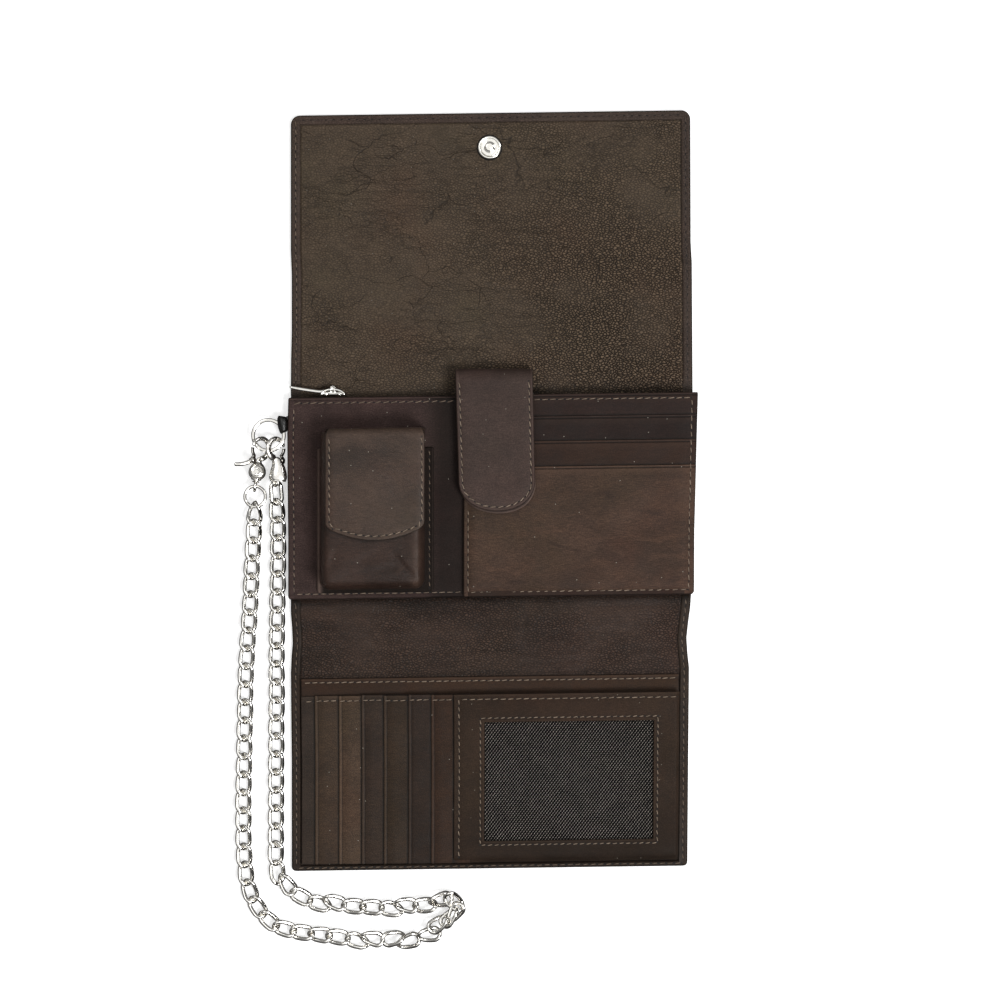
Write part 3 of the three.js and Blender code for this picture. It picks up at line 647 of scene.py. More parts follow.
def dust_specks(s, at):
    specks = s.cells(at, 9.0, "F1")
    pick = s.node("ShaderNodeSeparateColor", {0: specks.outputs["Color"]}).outputs[0]
    spots = s.ramp(specks.outputs["Distance"], over=(0.016, 0.027), to=(1.0, 0.0))
    return s.times(spots, s.ramp(pick, over=(0.74, 0.76)))


def leather(name, rgb, *, mottle, red, depth, rough, seed, grain=1.0, turn=0.7, veins=0.08,
            mask=None, streak=0.0, dust=1.0, pull=0.0, spec=0.15, fleck=0.0, wrinkle=0.0):
    """grained leather; grain is the pebble size in mm, turn its direction and depth its relief and
    the strength of the painted shade and highlight on the pebbles
    """
    s = Surface(name)
    base = linear(rgb)
    rest = s.rest()
    at = s.mapped(rest, shift=(seed * 131.7, seed * 57.3, seed * 11.1))
    mid = s.noise(at, size=8, detail=4, rough=0.6)
    fine = s.noise(at, size=0.55, rough=0.6)
    fibre = s.noise(s.mapped(at, turn=-0.7, stretch=(0.35, 2.4, 1)), size=0.9, rough=0.6)
    colour = skin_colour(s, at, base, mid, mottle, red, pull)
    cells, dome_highlight, shown = pebbles(s, at, rest, grain, turn, mask)
    colour = s.tone(colour, s.ramp(fine, over=(0.35, 0.65), to=(0.82, 1.19)))
    # painted shade in the creases between the pebbles and a painted highlight on their domed tops;
    # depth sets both
    crease = s.times(s.math("SUBTRACT", 1.0, cells), shown)
    colour = s.mix(s.times(crease, min(0.85, 1.15 * depth)), colour, shade(base, 0.25))
    colour = s.mix(s.times(s.times(dome_highlight, shown), min(0.8, depth)), colour,
                   shade(base, 2.0, 1.97, 1.9))
    colour = s.tone(colour, s.ramp(fibre, over=(0.35, 0.75), to=(0.86, 1.15 + streak)))
    height = s.times(s.times(cells, shown), depth)
    height = s.add(height, s.times(fine, 0.16))
    height = s.add(height, s.times(fibre, 0.10))
    if fleck:
        flecks = s.ramp(s.noise(at, size=0.8, detail=2, rough=0.7), over=(0.62, 0.8))
        colour = s.mix(s.times(flecks, fleck), colour, shade(base, 1.9, 1.7, 1.35))
    # lines: make, amount, how much painted shade darkens them, colour left in them, how deep they
    # cut
    for make, amount, line_shade, left, cut in ((wrinkle_lines, wrinkle, 0.62, 0.34, 0.8),
                                            (vein_lines, veins, 0.80, 0.30, 0.9)):
        if amount:
            marks = make(s, at)
            colour = s.mix(s.times(marks, line_shade * amount), colour, shade(base, left))
            height = s.math("SUBTRACT", height, s.times(marks, cut * amount))
    # burnished rims and painted shade carried in the edge attribute, then painted highlights carried
    # in the lite attribute, made patchy
    colour = s.mix(s.times(s.attribute("edge"), 0.9, clamp=True), colour, (0.006, 0.005, 0.004, 1))
    uneven = s.ramp(s.noise(at, size=5, rough=0.6), over=(0.3, 0.65), to=(0.55, 1.0))
    pale_highlight = (base[0] * 2.1 + 0.02, base[1] * 2.05 + 0.016, base[2] * 2.0 + 0.012, 1)
    colour = s.mix(s.times(s.attribute("lite"), uneven, clamp=True), colour, pale_highlight)
    colour = s.mix(s.times(dust_specks(s, at), 0.75 * dust, clamp=True), colour,
                   (0.34, 0.31, 0.26, 1))
    sheen = s.ramp(mid, over=(0.3, 0.7), to=(rough - 0.07, rough + 0.09))
    return s.finish({
        "Base Color": colour,
        "Roughness": s.add(sheen, s.times(fine, 0.10)),
        "Specular IOR Level": spec,
        "Normal": s.bump(height, strength=0.85, distance=0.00022)})


# ------------------------------------------------------------------ other materials
def thread(name, rgb):
    s = Surface(name)
    rest = s.rest()
    twist = s.node("ShaderNodeTexWave", {
        "Vector": s.mapped(rest, turn=0.6), "Scale": 1.1, "Distortion": 1.5,
        "Detail": 1.0}).outputs["Fac"]
    patches = s.noise(rest, size=2.2, rough=0.6)
    value = s.times(s.ramp(patches, over=(0.3, 0.7), to=(0.62, 1.28)),
                    s.ramp(twist, over=(0, 1), to=(0.8, 1.1)))
    return s.finish({
        "Base Color": s.tone(linear(rgb), value),
        "Roughness": 0.55,
        "Specular IOR Level": 0.2,
        "Normal": s.bump(twist, strength=0.4, distance=0.00008)})


def chrome(name, rgb, rough, wear=0.5, bump=0.05):
    """plated metal: darker patches of wear and fine scratches"""
    s = Surface(name)
    base = linear(rgb)
    rest = s.rest()
    patches = s.noise(rest, size=2.6, detail=4, rough=0.6)
    scratches = s.noise(s.mapped(rest, turn=0.8, stretch=(0.25, 6, 1)), size=1.2, rough=0.7)
    both = s.add(s.times(patches, 0.6), s.times(scratches, 0.4))
    return s.finish({
        "Base Color": s.mix(s.ramp(patches, over=(0.52, 0.8), to=(0.0, wear)), base,
                            shade(base, 0.62, 0.56, 0.50)),
        "Metallic": 1.0,
        "Roughness": s.ramp(both, over=(0.35, 0.7), to=(rough * 0.7, rough * 1.9)),
        "Normal": s.bump(scratches, strength=bump, distance=0.00005)})


def cloth(name, rgb, pitch, rough=0.8):
    """plain weave with the given thread pitch"""
    s = Surface(name)
    rest = s.rest()
    x, y = s.split(rest)[:2]
    weave = s.times(s.math("SINE", s.times(x, 2 * pi / pitch)),
                    s.math("SINE", s.times(y, 2 * pi / pitch)))
    value = s.times(s.ramp(weave, over=(-1, 1), to=(0.6, 1.3)),
                    s.ramp(s.noise(rest, size=4), over=(0.3, 0.7), to=(0.85, 1.15)))
    return s.finish({
        "Base Color": s.tone(linear(rgb), value),
        "Roughness": rough,
        "Specular IOR Level": 0.2,
        "Normal": s.bump(weave, strength=0.5, distance=0.00012)})


def mesh_fabric(name):
    """dark fabric with staggered rows of round holes; the holes are painted, not cut, near black as
    painted shade of the pocket behind
    """
    s = Surface(name)
    rest = s.rest()
    x, y = s.split(rest)[:2]
    row = s.math("DIVIDE", y, MESH_PITCH_Y)
    stagger = s.times(s.math("MODULO", s.add(s.math("FLOOR", row), 1000.0), 2.0), 0.5)
    column = s.add(s.math("DIVIDE", x, MESH_PITCH_X), stagger)
    squares = []
    for place, pitch in ((column, MESH_PITCH_X), (row, MESH_PITCH_Y)):
        part = s.math("FRACT", s.add(place, 1000.0))
        offset = s.times(s.math("SUBTRACT", part, 0.5), pitch)
        squares.append(s.times(offset, offset))
    distance = s.math("SQRT", s.add(*squares))
    # mask of the painted holes
    hole = s.ramp(distance, over=(0.24, 0.38), to=(1.0, 0.0))
    patches = s.ramp(s.noise(rest, size=6, rough=0.6), over=(0.3, 0.7), to=(0.7, 1.3))
    fabric = s.tone(linear((6, 5.5, 5)), patches)
    return s.finish({
        "Base Color": s.mix(hole, fabric, (0.0015, 0.0015, 0.0015, 1)),
        "Roughness": 0.6,
        "Specular IOR Level": 0.08,
        "Normal": s.bump(s.math("SUBTRACT", 1.0, hole), strength=0.9, distance=0.0003)})


def flap_mask(s, rest):
    """grain of the flap lining: stronger to the right and lower down"""
    x, y = s.split(rest)[:2]
    return s.times(s.ramp(x, over=(-60, 70), to=(0.60, 1.35)),
                   s.ramp(y, over=(150, 60), to=(0.75, 1.15)))


MAT = {}
MAT["flap"] = leather(
    "leather_flap_lining", (72.8, 61.1, 49.4), mottle=0.12, red=0.55, grain=1.42, depth=0.90,
    turn=0.62, veins=1.0, rough=0.46, mask=flap_mask, seed=1, dust=0.5, wrinkle=0.8)
MAT["border"] = leather(
    "leather_turned_edge", (63.6, 52.3, 45.9), mottle=0.12, red=0.3, grain=1.3, depth=0.40,
    turn=0.4, veins=0.3, rough=0.5, seed=2, dust=0.3, wrinkle=0.4)
MAT["border_low"] = leather(
    "leather_turned_edge_low", (44.4, 35.2, 28.6), mottle=0.16, red=0.3, grain=1.3, depth=0.30,
    turn=0.4, veins=0.2, rough=0.5, seed=32, dust=0.3, wrinkle=0.4)
MAT["panel"] = leather(
    "leather_middle_panel", (64.8, 51.2, 48.5), mottle=0.16, red=0.4, grain=1.1, depth=0.16,
    veins=0.12, rough=0.56, seed=3, dust=1.2, spec=0.075, wrinkle=0.2)
MAT["pouch_lid"] = leather(
    "leather_pouch", (61.1, 48.2, 40.6), mottle=0.30, red=0.7, depth=0.22, turn=0.8, veins=0.12,
    rough=0.44, seed=4, dust=1.2, streak=0.08, fleck=0.6, pull=0.50, spec=0.22, wrinkle=0.35)
MAT["pouch_body"] = leather(
    "leather_pouch_body", (48.4, 35.1, 29.4), mottle=0.30, red=0.6, depth=0.22, turn=0.8,
    veins=0.12, rough=0.42, seed=24, dust=1.2, streak=0.08, fleck=0.45, pull=0.45, spec=0.18,
    wrinkle=0.40)
# light base colour: flange_edge darkens it right of the left fold, so it shows only on that fold as
# part of its painted highlight
MAT["flange"] = leather(
    "leather_pouch_flange", (66.0, 54.0, 50.0), mottle=0.12, red=0.3, depth=0.12, turn=0.8,
    veins=0.05, rough=0.55, seed=34, dust=0.6, spec=0.05)
MAT["tab"] = leather(
    "leather_tab", (63.3, 50.8, 46.2), mottle=0.10, red=0.35, depth=0.10, rough=0.50, seed=5,
    dust=0.7, fleck=0.15)
MAT["slot1"] = leather(
    "leather_slot_1", (37.9, 26.0, 22.5), mottle=0.12, red=0.3, depth=0.08, turn=0.6,
    veins=0.05, rough=0.55, seed=6)
MAT["slot2"] = leather(
    "leather_slot_2", (33.4, 23.2, 20.0), mottle=0.10, red=0.2, depth=0.08, turn=0.6,
    veins=0.05, rough=0.56, seed=7)
MAT["slot3"] = leather(
    "leather_slot_3", (44.2, 30.1, 23.6), mottle=0.14, red=0.5, depth=0.08, turn=0.6,
    veins=0.05, rough=0.55, seed=8)
MAT["pocket"] = leather(
    "leather_pocket", (61.9, 46.2, 37.4), mottle=0.20, red=0.7, depth=0.14, veins=0.10,
    rough=0.55, seed=9, pull=0.72, streak=0.22, fleck=0.2)
MAT["bill"] = leather(
    "leather_bill_strip", (48.1, 32.4, 21.8), mottle=0.12, red=0.4, depth=0.12, turn=0.6,
    rough=0.52, seed=10)
STRIP_COLOURS = [(46.9, 37.3, 30.6), (54.6, 42.1, 32.1), (65.8, 51.2, 39.9), (44.5, 34.6, 27.5),
                 (45.6, 33.8, 24.6), (38.4, 27.7, 21.2), (44.4, 29.8, 21.0)]
for i, rgb in enumerate(STRIP_COLOURS):
    MAT[f"strip{i}"] = leather(
        f"leather_strip_{i}", rgb, mottle=0.18, red=0.5, depth=0.20, turn=0.75, veins=0.10,
        rough=0.50, seed=11 + i, dust=0.9, streak=0.10, pull=0.22)
MAT["id"] = leather(
    "leather_id_panel", (48.2, 36.8, 29.1), mottle=0.14, red=0.40, depth=0.20, rough=0.50,
    seed=20, dust=0.6, spec=0.08, pull=0.15)
MAT["outer"] = leather(
    "leather_outside", (52.5, 39.6, 32.8), mottle=0.22, red=0.6, grain=1.45, depth=0.74,
    turn=0.45, veins=0.40, rough=0.42, seed=21, dust=0.3, wrinkle=0.30, pull=0.35, streak=0.14)
MAT["black"] = leather(
    "leather_black_loop", (12, 11, 10), mottle=0.10, red=0.0, grain=0.8, depth=0.10, turn=0.4,
    veins=0.0, rough=0.22, seed=22, dust=0.0, spec=0.5)
for key, name, rgb in (("thread", "thread_tan", (138, 122, 106)),
                       ("thread_mid", "thread_brown", (112, 97, 84)),
                       ("thread_hem", "thread_hem", (74, 63, 57)),
                       ("thread_dark", "thread_dark", (58, 49, 47)),
                       # near black: painted shade in the stitch holes and in the crevice round the
                       # snap stud
                       ("hole", "stitch_hole_shade", (13, 11, 10))):
    MAT[key] = thread(name, rgb)
MAT["chrome"] = chrome("nickel_plate", (240, 238, 233), rough=0.08)
MAT["satin"] = chrome("nickel_satin", (240, 237, 232), rough=0.20, wear=0.08)
MAT["snap"] = chrome("snap_nickel", (246, 244, 238), rough=0.15, wear=0.0, bump=0.0)
MAT["tape"] = cloth("zip_tape_weave", (30, 25, 22), pitch=0.6)
MAT["steel"] = chrome("hidden_steel", (150, 148, 145), rough=0.35)
# pale: the mesh yarn is black, this pale colour is a painted glint on it
MAT["yarn"] = cloth("mesh_yarn_glint", (212, 202, 190), pitch=0.28, rough=0.62)
MAT["mesh"] = mesh_fabric("mesh_fabric_weave")


# ------------------------------------------------------------------ stitches
# thread shape: place along (share of length), thickness factor, sink (radii)
STITCH_PROFILE = ((-0.5, 0.30, -0.55), (-0.40, 0.78, -0.12), (-0.18, 1.0, 0.12),
                  (0.18, 1.0, 0.12), (0.40, 0.78, -0.12), (0.5, 0.30, -0.55))
STITCH_SIDES, HOLE_SIDES = 6, 8
HOLE_LONG, HOLE_WIDE, HOLE_RAISE, HOLE_DEPTH = 0.50, 0.36, 0.035, 0.14
STITCH_FACES = ring_faces(len(STITCH_PROFILE), STITCH_SIDES, flip=True)
HOLE_WALLS = ring_faces(2, HOLE_SIDES, flip=True)
HOLE_FACES = HOLE_WALLS[-2:] + HOLE_WALLS[:-2]      # caps first


def stitch_verts(x, y, z, tx, ty, length, radius, slant):
    """one thread lying half sunk in the leather, pointing along (tx, ty) turned by slant"""
    ux, uy = tx * cos(slant) - ty * sin(slant), tx * sin(slant) + ty * cos(slant)
    verts = []
    for along, thick, sink in STITCH_PROFILE:
        for j in range(STITCH_SIDES):
            angle = 2 * pi * (j + 0.5) / STITCH_SIDES
            side = cos(angle) * radius * thick
            rise = sin(angle) * radius * thick * 0.9
            verts.append((x + ux * along * length - uy * side,
                          y + uy * along * length + ux * side, z + rise + sink * radius))
    return verts


def hole_verts(x, y, z, tx, ty):
    angles = [2 * pi * q / HOLE_SIDES for q in range(HOLE_SIDES)]
    ring = [(x + tx * cos(a) * HOLE_LONG - ty * sin(a) * HOLE_WIDE,
             y + ty * cos(a) * HOLE_LONG + tx * sin(a) * HOLE_WIDE) for a in angles]
    return [(a, b, level) for level in (z, z - HOLE_DEPTH) for a, b in ring]


def sew(name, path, height, material, warp, *, pitch, length, radius, slant, seed, lift=0.06,
        **joint):
    """row of lock stitches along a flat path on the surface height(x, y), and their holes"""
    path = np.array(path, float)
    spans = np.hypot(*(path[1:] - path[:-1]).T)
    reached = np.concatenate([[0], np.cumsum(spans)])
    count = max(1, int(round(reached[-1] / pitch)))
    pitch = reached[-1] / count
    rng = np.random.RandomState(seed)

    def level(x, y):
        return float(height(np.array([[x]]), np.array([[y]]))[0, 0])

    threads, holes = [], []
    for i in range(count):
        s = (i + 0.5) * pitch
        j = min(len(spans) - 1, int(np.searchsorted(reached, s, side="right") - 1))
        t = (s - reached[j]) / spans[j]
        x, y = path[j] * (1 - t) + path[j + 1] * t
        tx, ty = (path[j + 1] - path[j]) / spans[j]
        shift_x, shift_y = rng.uniform(-0.06, 0.06), rng.uniform(-0.06, 0.06)
        turn, stretch = rng.uniform(-0.07, 0.07), rng.uniform(0.93, 1.06)
        threads.append((stitch_verts(x + shift_x, y + shift_y, level(x, y) + lift, tx, ty,
                                     length * stretch, radius, slant + turn), STITCH_FACES))
        x, y = x + tx * pitch / 2, y + ty * pitch / 2
        # each hole is a dark cap standing just above the surface, painted shade of the needle hole
        holes.append((hole_verts(x, y, level(x, y) + HOLE_RAISE, tx, ty), HOLE_FACES))
    made = []
    for label, parts, look, sharp in ((name, threads, material, 0),
                                      (name + "_holes", holes, MAT["hole"], 30)):
        verts, faces = join(parts)
        made.append(build(label, warp(verts), faces, look, verts, sharp=sharp))
    for obj in made:
        attach(obj, **joint)


def sew_rows(rows, warp, **joint):
    """rows: name, path, height, material, pitch, length, radius, slant, seed"""
    for name, path, height, material, pitch, length, radius, slant, seed in rows:
        sew(name, path, height, MAT[material], warp, pitch=pitch, length=length, radius=radius,
            slant=slant, seed=seed, **joint)


# ------------------------------------------------------------------ cover: one sheet in six pieces
HEM_GROOVE = 4.25                       # inset of the groove inside the turned edge
HEM_SEAM = 2.15                         # inset of the hem stitches
HEM_Z = 2.32
GROOVE_LINES = (-2.1, -1.6, -0.55, -0.3, -0.1, 0.1, 0.3, 0.5, 0.8)
GROOVE_LINES_BACK = tuple(-v for v in GROOVE_LINES)
# creases of the lining: middle x, y, turn (rad), length, width, depth
LINING_FOLDS = (
    (-40, 84, 0.12, 38, 1.5, 0.26), (5, 79, -0.22, 34, 1.4, 0.24), (-58, 100, 0.5, 24, 1.3, 0.16),
    (-2, 112, 0.9, 26, 1.2, 0.18), (38, 96, -0.72, 36, 1.4, 0.20), (60, 118, -0.8, 30, 1.5, 0.18),
    (-50, 66, 0.25, 30, 1.6, 0.26), (20, 63, -0.12, 34, 1.7, 0.24), (62, 74, 0.9, 22, 1.3, 0.16),
    (-70, 136, 1.1, 20, 1.3, 0.12), (30, 140, -0.35, 24, 1.4, 0.12))
# creases across the lower spine: y, depth
SPINE_CREASES = ((-48.5, 0.35), (-53.5, 0.28), (-59.5, 0.38), (-65.2, 0.32), (-71.0, 0.34))


def side_inset(x):
    return np.minimum(x - COVER_LEFT, COVER_RIGHT - x)


def hem_inset(x, y):
    """distance from the hemmed edges: both sides, and the top on the upper half"""
    return np.where(y > 0, np.minimum(side_inset(x), FLAP_TOP - y), side_inset(x))


def rim_inset(x, y):
    return nearest(side_inset(x), FLAP_TOP - y, y - BOTTOM_EDGE)


def low_hem_inset(x, y):
    return np.minimum(side_inset(x), y - BOTTOM_EDGE + 1.5)


def hem(d, inner):
    """height across the turned edge and the sheet, of height inner, inside it"""
    z = HEM_Z - 0.16 * bell(d - HEM_SEAM, 0.55)
    z = z - (HEM_Z - inner + 0.22) * ease(3.75, 4.15, d)
    return z + 0.22 * ease(4.3, 4.75, d) + 0.06 * bell(d - 5.0, 0.35)


def lining_height(x, y):
    z = 2.15 + 0.20 * fbm(x / 34, y / 26, 3, 3) + 0.10 * fbm(x / 11 + 3, y / 9, 8, 2)
    return z - folds(x, y, LINING_FOLDS, wander=1.8 * fbm(x / 9, y / 9, 31, 2), reach=0.62,
                     lip=0.7, lip_shift=2.2, lip_width=1.2)


def spine_height(x, y):
    z = 1.95 + 0.16 * fbm(x / 30, y / 9, 41, 3)
    z = z + 0.22 * fbm(x / 26, y / 3.4, 43, 3) * ease(0, 10, side_inset(x))
    for seed, (centre, depth) in enumerate(SPINE_CREASES, 1):
        across = y - centre - 1.7 * fbm(x / 22, y * 0 + seed, 50 + seed, 3)
        strength = 0.35 + 0.65 * vnoise(x / 17 + seed * 3, y * 0, 60 + seed)
        z = z - depth * strength * (bell(across, 0.85) - 0.6 * bell(across - 1.8, 1.1))
    return z


def cover_top(x, y):
    side, end, d = side_inset(x), FLAP_TOP - y, hem_inset(x, y)
    upper = y > 0
    body = np.where(upper, lining_height(x, y), spine_height(x, y))
    z = np.where(d < 4.9, hem(d, 2.05) + (body - 2.1) * ease(4.4, 4.9, d), body)
    # mitred folds at the flap's free corners
    z = z - np.where(upper, 0.22 * bell(side - end, 0.45) * (np.maximum(side, end) < 4.4), 0)
    # thin under the block
    under = ease(49.5, 46.0, y) * ease(-45.0, -42.5, y)
    z = z * (1 - under) + 1.28 * under
    # bottom panel: a hem round a thin sheet that carries the pockets
    low = low_hem_inset(x, y)
    panel = np.where(low < 4.3, np.maximum(hem(low, 1.3), 1.3), 1.3)
    bottom = ease(-75.0, -77.4, y)
    z = z * (1 - bottom) + panel * bottom
    return 0.9 + (z - 0.9) * roll(rim_inset(x, y), 0.95) + 0.02


def cover_under(x, y):
    d = np.maximum(rim_inset(x, y), 0)
    swell = 0.05 * (fbm(x / 20, y / 20, 77, 2) + 1) * ease(1, 6, d) * 0.5
    return 0.9 * (1 - roll(d, 0.95)) + swell


def cover_edge(x, y):
    d = hem_inset(x, y)
    spine = (y < -45) & (y > -76)
    # burnished outer rim; painted shade in the groove inside the flap's hem
    e = 0.95 * bell(rim_inset(x, y), 0.50) + 0.38 * bell(d - 4.22, 0.24) * (y > 44)
    # painted shade in the hem groove along the spine
    e = e + 0.5 * bell(d - 4.22, 0.26) * ((y < -44) & (y > -76))
    # painted shade of soft folds across the spine, in horizontal bands
    e = e + 0.24 * ease(0.50, 0.80, vnoise(x / 27 + 4, y / 5.5, 91)) * spine
    # painted shade towards the spine's left side
    e = e + 0.10 * ease(-66, -82, x) * spine
    # painted shadow under the block's lower edge; painted shade where the spine meets the pockets'
    # top
    e = e + 0.42 * ease(-51.5, -44.2, y) * (y < -20) + 0.25 * ease(-74.5, -76.6, y) * (y > -80)
    # painted shadow along the block's top edge on the flap side
    e = e + 0.35 * ease(50.0, 44.5, y) * (y > 20)
    # painted shade in the groove of the bottom hem
    e = e + 0.7 * bell(low_hem_inset(x, y) - 4.22, 0.25) * (y < -77)
    e = e + 0.13 * ease(4.4, 3.8, COVER_RIGHT - x) * (y > 44)
    return np.clip(e, 0, 1)


def cover_lite(x, y):
    d = hem_inset(x, y)
    # painted highlights: patches on the soft folds across the spine, lines on the hem's raised lip
    # and turned fold, and a line near the outer rim
    painted_highlight = 0.16 * ease(0.52, 0.85, vnoise(x / 24 + 9, y / 7, 95)) * ((y < -46) & (y > -75))
    hem_highlights = 0.20 * bell(d - 4.85, 0.22) * (y > 44) + 0.10 * bell(d - 3.65, 0.2)
    return np.clip(painted_highlight + hem_highlights + 0.16 * bell(d - 0.75, 0.3), 0, 1)


def clear_of_socket(radius):
    return lambda x, y: np.hypot(x - SOCKET[0], y - SOCKET[1]) > radius


def bottom_rows():
    """grid rows of the bottom sheet, evened out round the socket hole"""
    rows = merged(
        grid_lines(BOTTOM_EDGE, -82, 3.0, (True, False),
                   fine=((BOTTOM_EDGE + 2.75, (-1.1, -0.3, -0.1, 0.1, 0.3)),)),
        plain_lines(-82, -68.65, 0.9, fine=((-76.2, (-1.2, -0.6, 0, 0.6, 1.2)),)))
    return merged(rows[(rows < -125) | (rows > -108)], np.linspace(-125, -108, 18))


# name, grid rows, blended bodies, y where the blend starts and ends, replaced nodes
COVER_SHEETS = (
    ("flap_sheet",
     grid_lines(81.9, FLAP_TOP, 1.3, (False, True),
                fine=((FLAP_TOP - HEM_GROOVE, GROOVE_LINES_BACK),)),
     ("upper_spine_2", "top_flap", 81.9, 100.0), ("cover_flap", "flap_hem", "flap_lining")),
    ("upper_spine_sheet", plain_lines(63.3, 81.9, 1.0),
     ("upper_spine_1", "upper_spine_2", 63.3, 81.9), ("cover_upper_spine_b",)),
    ("middle_upper_sheet",
     merged(plain_lines(COVER_MIDDLE, 44, 5),
            plain_lines(44, 63.3, 1.1, fine=((47.5, (-2.5, -1.5, -0.5, 0.5, 1.5)),))),
     ("middle", "upper_spine_1", 48.0, 63.3), ("cover_middle", "cover_upper_spine_a")),
    ("middle_lower_sheet",
     merged(plain_lines(-52.15, -41, 0.8, fine=((-44, (-1.6, -0.8, 0, 0.8, 1.6)),)),
            plain_lines(-41, COVER_MIDDLE, 5)),
     ("middle", "lower_spine_1", -41.5, -52.15), ("cover_lower_spine_a",)),
    ("lower_spine_sheet", plain_lines(-68.65, -52.15, 1.0),
     ("lower_spine_1", "lower_spine_2", -52.15, -68.65), ("cover_lower_spine_b",)),
    ("bottom_sheet", bottom_rows(),
     ("lower_spine_2", "bottom_panel", -68.65, -80.0), ("cover_bottom", "bottom_hem")))


def hem_paths(name, y0, y1):
    """stitch paths of one sheet; the side rows stop where the block covers them"""
    low = 46.5 if y0 == COVER_MIDDLE else max(y0, BOTTOM_EDGE + 2.6)
    high = -44.6 if y1 == COVER_MIDDLE else min(y1, FLAP_TOP - HEM_SEAM)
    left, right = COVER_LEFT + HEM_SEAM, COVER_RIGHT - HEM_SEAM
    paths = [[(x, low), (x, high)] for x in (left, right)]
    if name == "flap_sheet":
        paths.append([(left, FLAP_TOP - HEM_SEAM), (right, FLAP_TOP - HEM_SEAM)])
    if name == "bottom_sheet":
        paths.append([(COVER_LEFT + 2.6, BOTTOM_EDGE + 1.35),
                      (COVER_RIGHT - 2.6, BOTTOM_EDGE + 1.35)])
    return paths


def add_border(obj, material):
    """second material on the faces of the turned edge"""
    mesh = obj.data
    mesh.materials.append(material)
    rest = np.zeros(len(mesh.vertices) * 3, np.float32)
    mesh.attributes["rp"].data.foreach_get("vector", rest)
    rest = rest.reshape(-1, 3)
    index = []
    for polygon in mesh.polygons:
        x, y, _ = rest[list(polygon.vertices)].mean(0)
        d = min(side_inset(x), FLAP_TOP - y if y > 0 else y - BOTTOM_EDGE + 1.5)
        index.append(1 if d < 4.2 else 0)
    mesh.polygons.foreach_set("material_index", index)


def make_cover():
    columns = grid_lines(COVER_LEFT, COVER_RIGHT, 1.45,
                         fine=((COVER_LEFT + HEM_GROOVE, GROOVE_LINES),
                               (COVER_RIGHT - HEM_GROOVE, GROOVE_LINES_BACK)))
    shape = rounded((COVER_LEFT, COVER_RIGHT, BOTTOM_EDGE, FLAP_TOP), (2, 2, 4, 4))
    for name, rows, blend, replaces in COVER_SHEETS:
        y0, y1 = float(rows[0]), float(rows[-1])
        upper = y1 > 40
        obj = slab(name, columns, rows, cover_top, cover_under, MAT["flap" if upper else "outer"],
                   warp_cover, shape, clear_of_socket(6.6) if name == "bottom_sheet" else None,
                   cover_edge, cover_lite)
        attach(obj, blend=blend, slot="lining_leather" if upper else "cover_leather",
               replaces=replaces)
        add_border(obj, MAT["border" if upper else "border_low"])
        for i, path in enumerate(hem_paths(name, y0, y1)):
            brown = not upper or path[1][0] < 0
            sew(f"{name}_stitch_{i}", path, cover_top, MAT["thread_mid" if brown else "thread_hem"],
                warp_cover, pitch=3.3, length=2.2, radius=0.19, slant=0.12, seed=i + 3,
                blend=blend, slot="cover_leather")


# ------------------------------------------------------------------ snap
# profiles: radius, z
STUD_PROFILE = [
    (0.35, 1.45), (1.2, 1.45), (1.3, 2.3), (4.6, 2.32), (4.98, 2.45), (5.05, 2.7), (4.95, 3.0),
    (4.72, 3.22), (4.45, 3.3), (4.1, 3.22), (3.85, 3.02), (3.3, 2.9), (2.7, 2.95), (2.3, 3.12),
    (1.95, 3.3), (1.6, 3.42), (1.5, 3.7), (1.5, 4.05), (1.72, 4.3), (1.93, 4.6), (1.95, 4.9),
    (1.85, 5.15), (1.55, 5.33), (1.1, 5.4), (0.7, 5.36), (0.4, 5.28)]
SEAT_PROFILE = [(4.9, 2.15), (5.0, 2.42), (5.35, 2.40), (5.6, 2.2), (5.55, 2.1)]
SOCKET_PROFILE = [
    (0.3, 1.85), (2.2, 1.85), (2.38, 1.7), (2.42, 0.25), (2.6, 0.05), (3.1, 0.16), (4.4, 0.16),
    (4.9, 0.02), (5.4, 0.05), (5.85, 0.3), (6.02, 0.7), (6.02, 1.4), (5.9, 2.1), (5.4, 2.2),
    (0.3, 2.2)]


def make_snap():
    obj = build("snap_stud_part", *turned(STUD_PROFILE, 64, STUD), MAT["snap"], sharp=0)
    attach(obj, "top_flap", slot="chrome", replaces=("snap_stud",))
    # dark ring round the flange: painted shade in the crevice where the leather is pressed in
    obj = build("snap_stud_crevice_shade", *turned(SEAT_PROFILE, 64, STUD), MAT["hole"], sharp=0)
    attach(obj, "top_flap", slot="lining_leather")
    verts, faces = turned(SOCKET_PROFILE, 48, SOCKET)
    obj = build("snap_socket_part", verts, [f[::-1] for f in faces], MAT["snap"], sharp=40)
    attach(obj, "bottom_panel", slot="chrome", replaces=("snap_socket",))


# ------------------------------------------------------------------ middle block: two plies
SEAM_LEFT, SEAM_BOTTOM = 2.6, 2.3       # stitch insets of the front ply
TOP_CREASE = 1.35                       # inset of the pressed line along the top edge


def front_top(x, y):
    d = inset(x, y, BLOCK)
    left, bottom, top = x - BLOCK_LEFT, y - BLOCK_BOTTOM, BLOCK_TOP - y
    z = 6.2 + 0.10 * fbm(x / 26, y / 22, 5, 3) * ease(1, 6, d)
    for distance, seam in ((left, SEAM_LEFT), (bottom, SEAM_BOTTOM), (top, 2.4)):
        z = z - 0.16 * bell(distance - seam, 0.6) * (x < -10.5)
    z = z - 0.20 * bell(top - TOP_CREASE, 0.3)
    return 4.9 + (z - 4.9) * roll(d, 1.0)


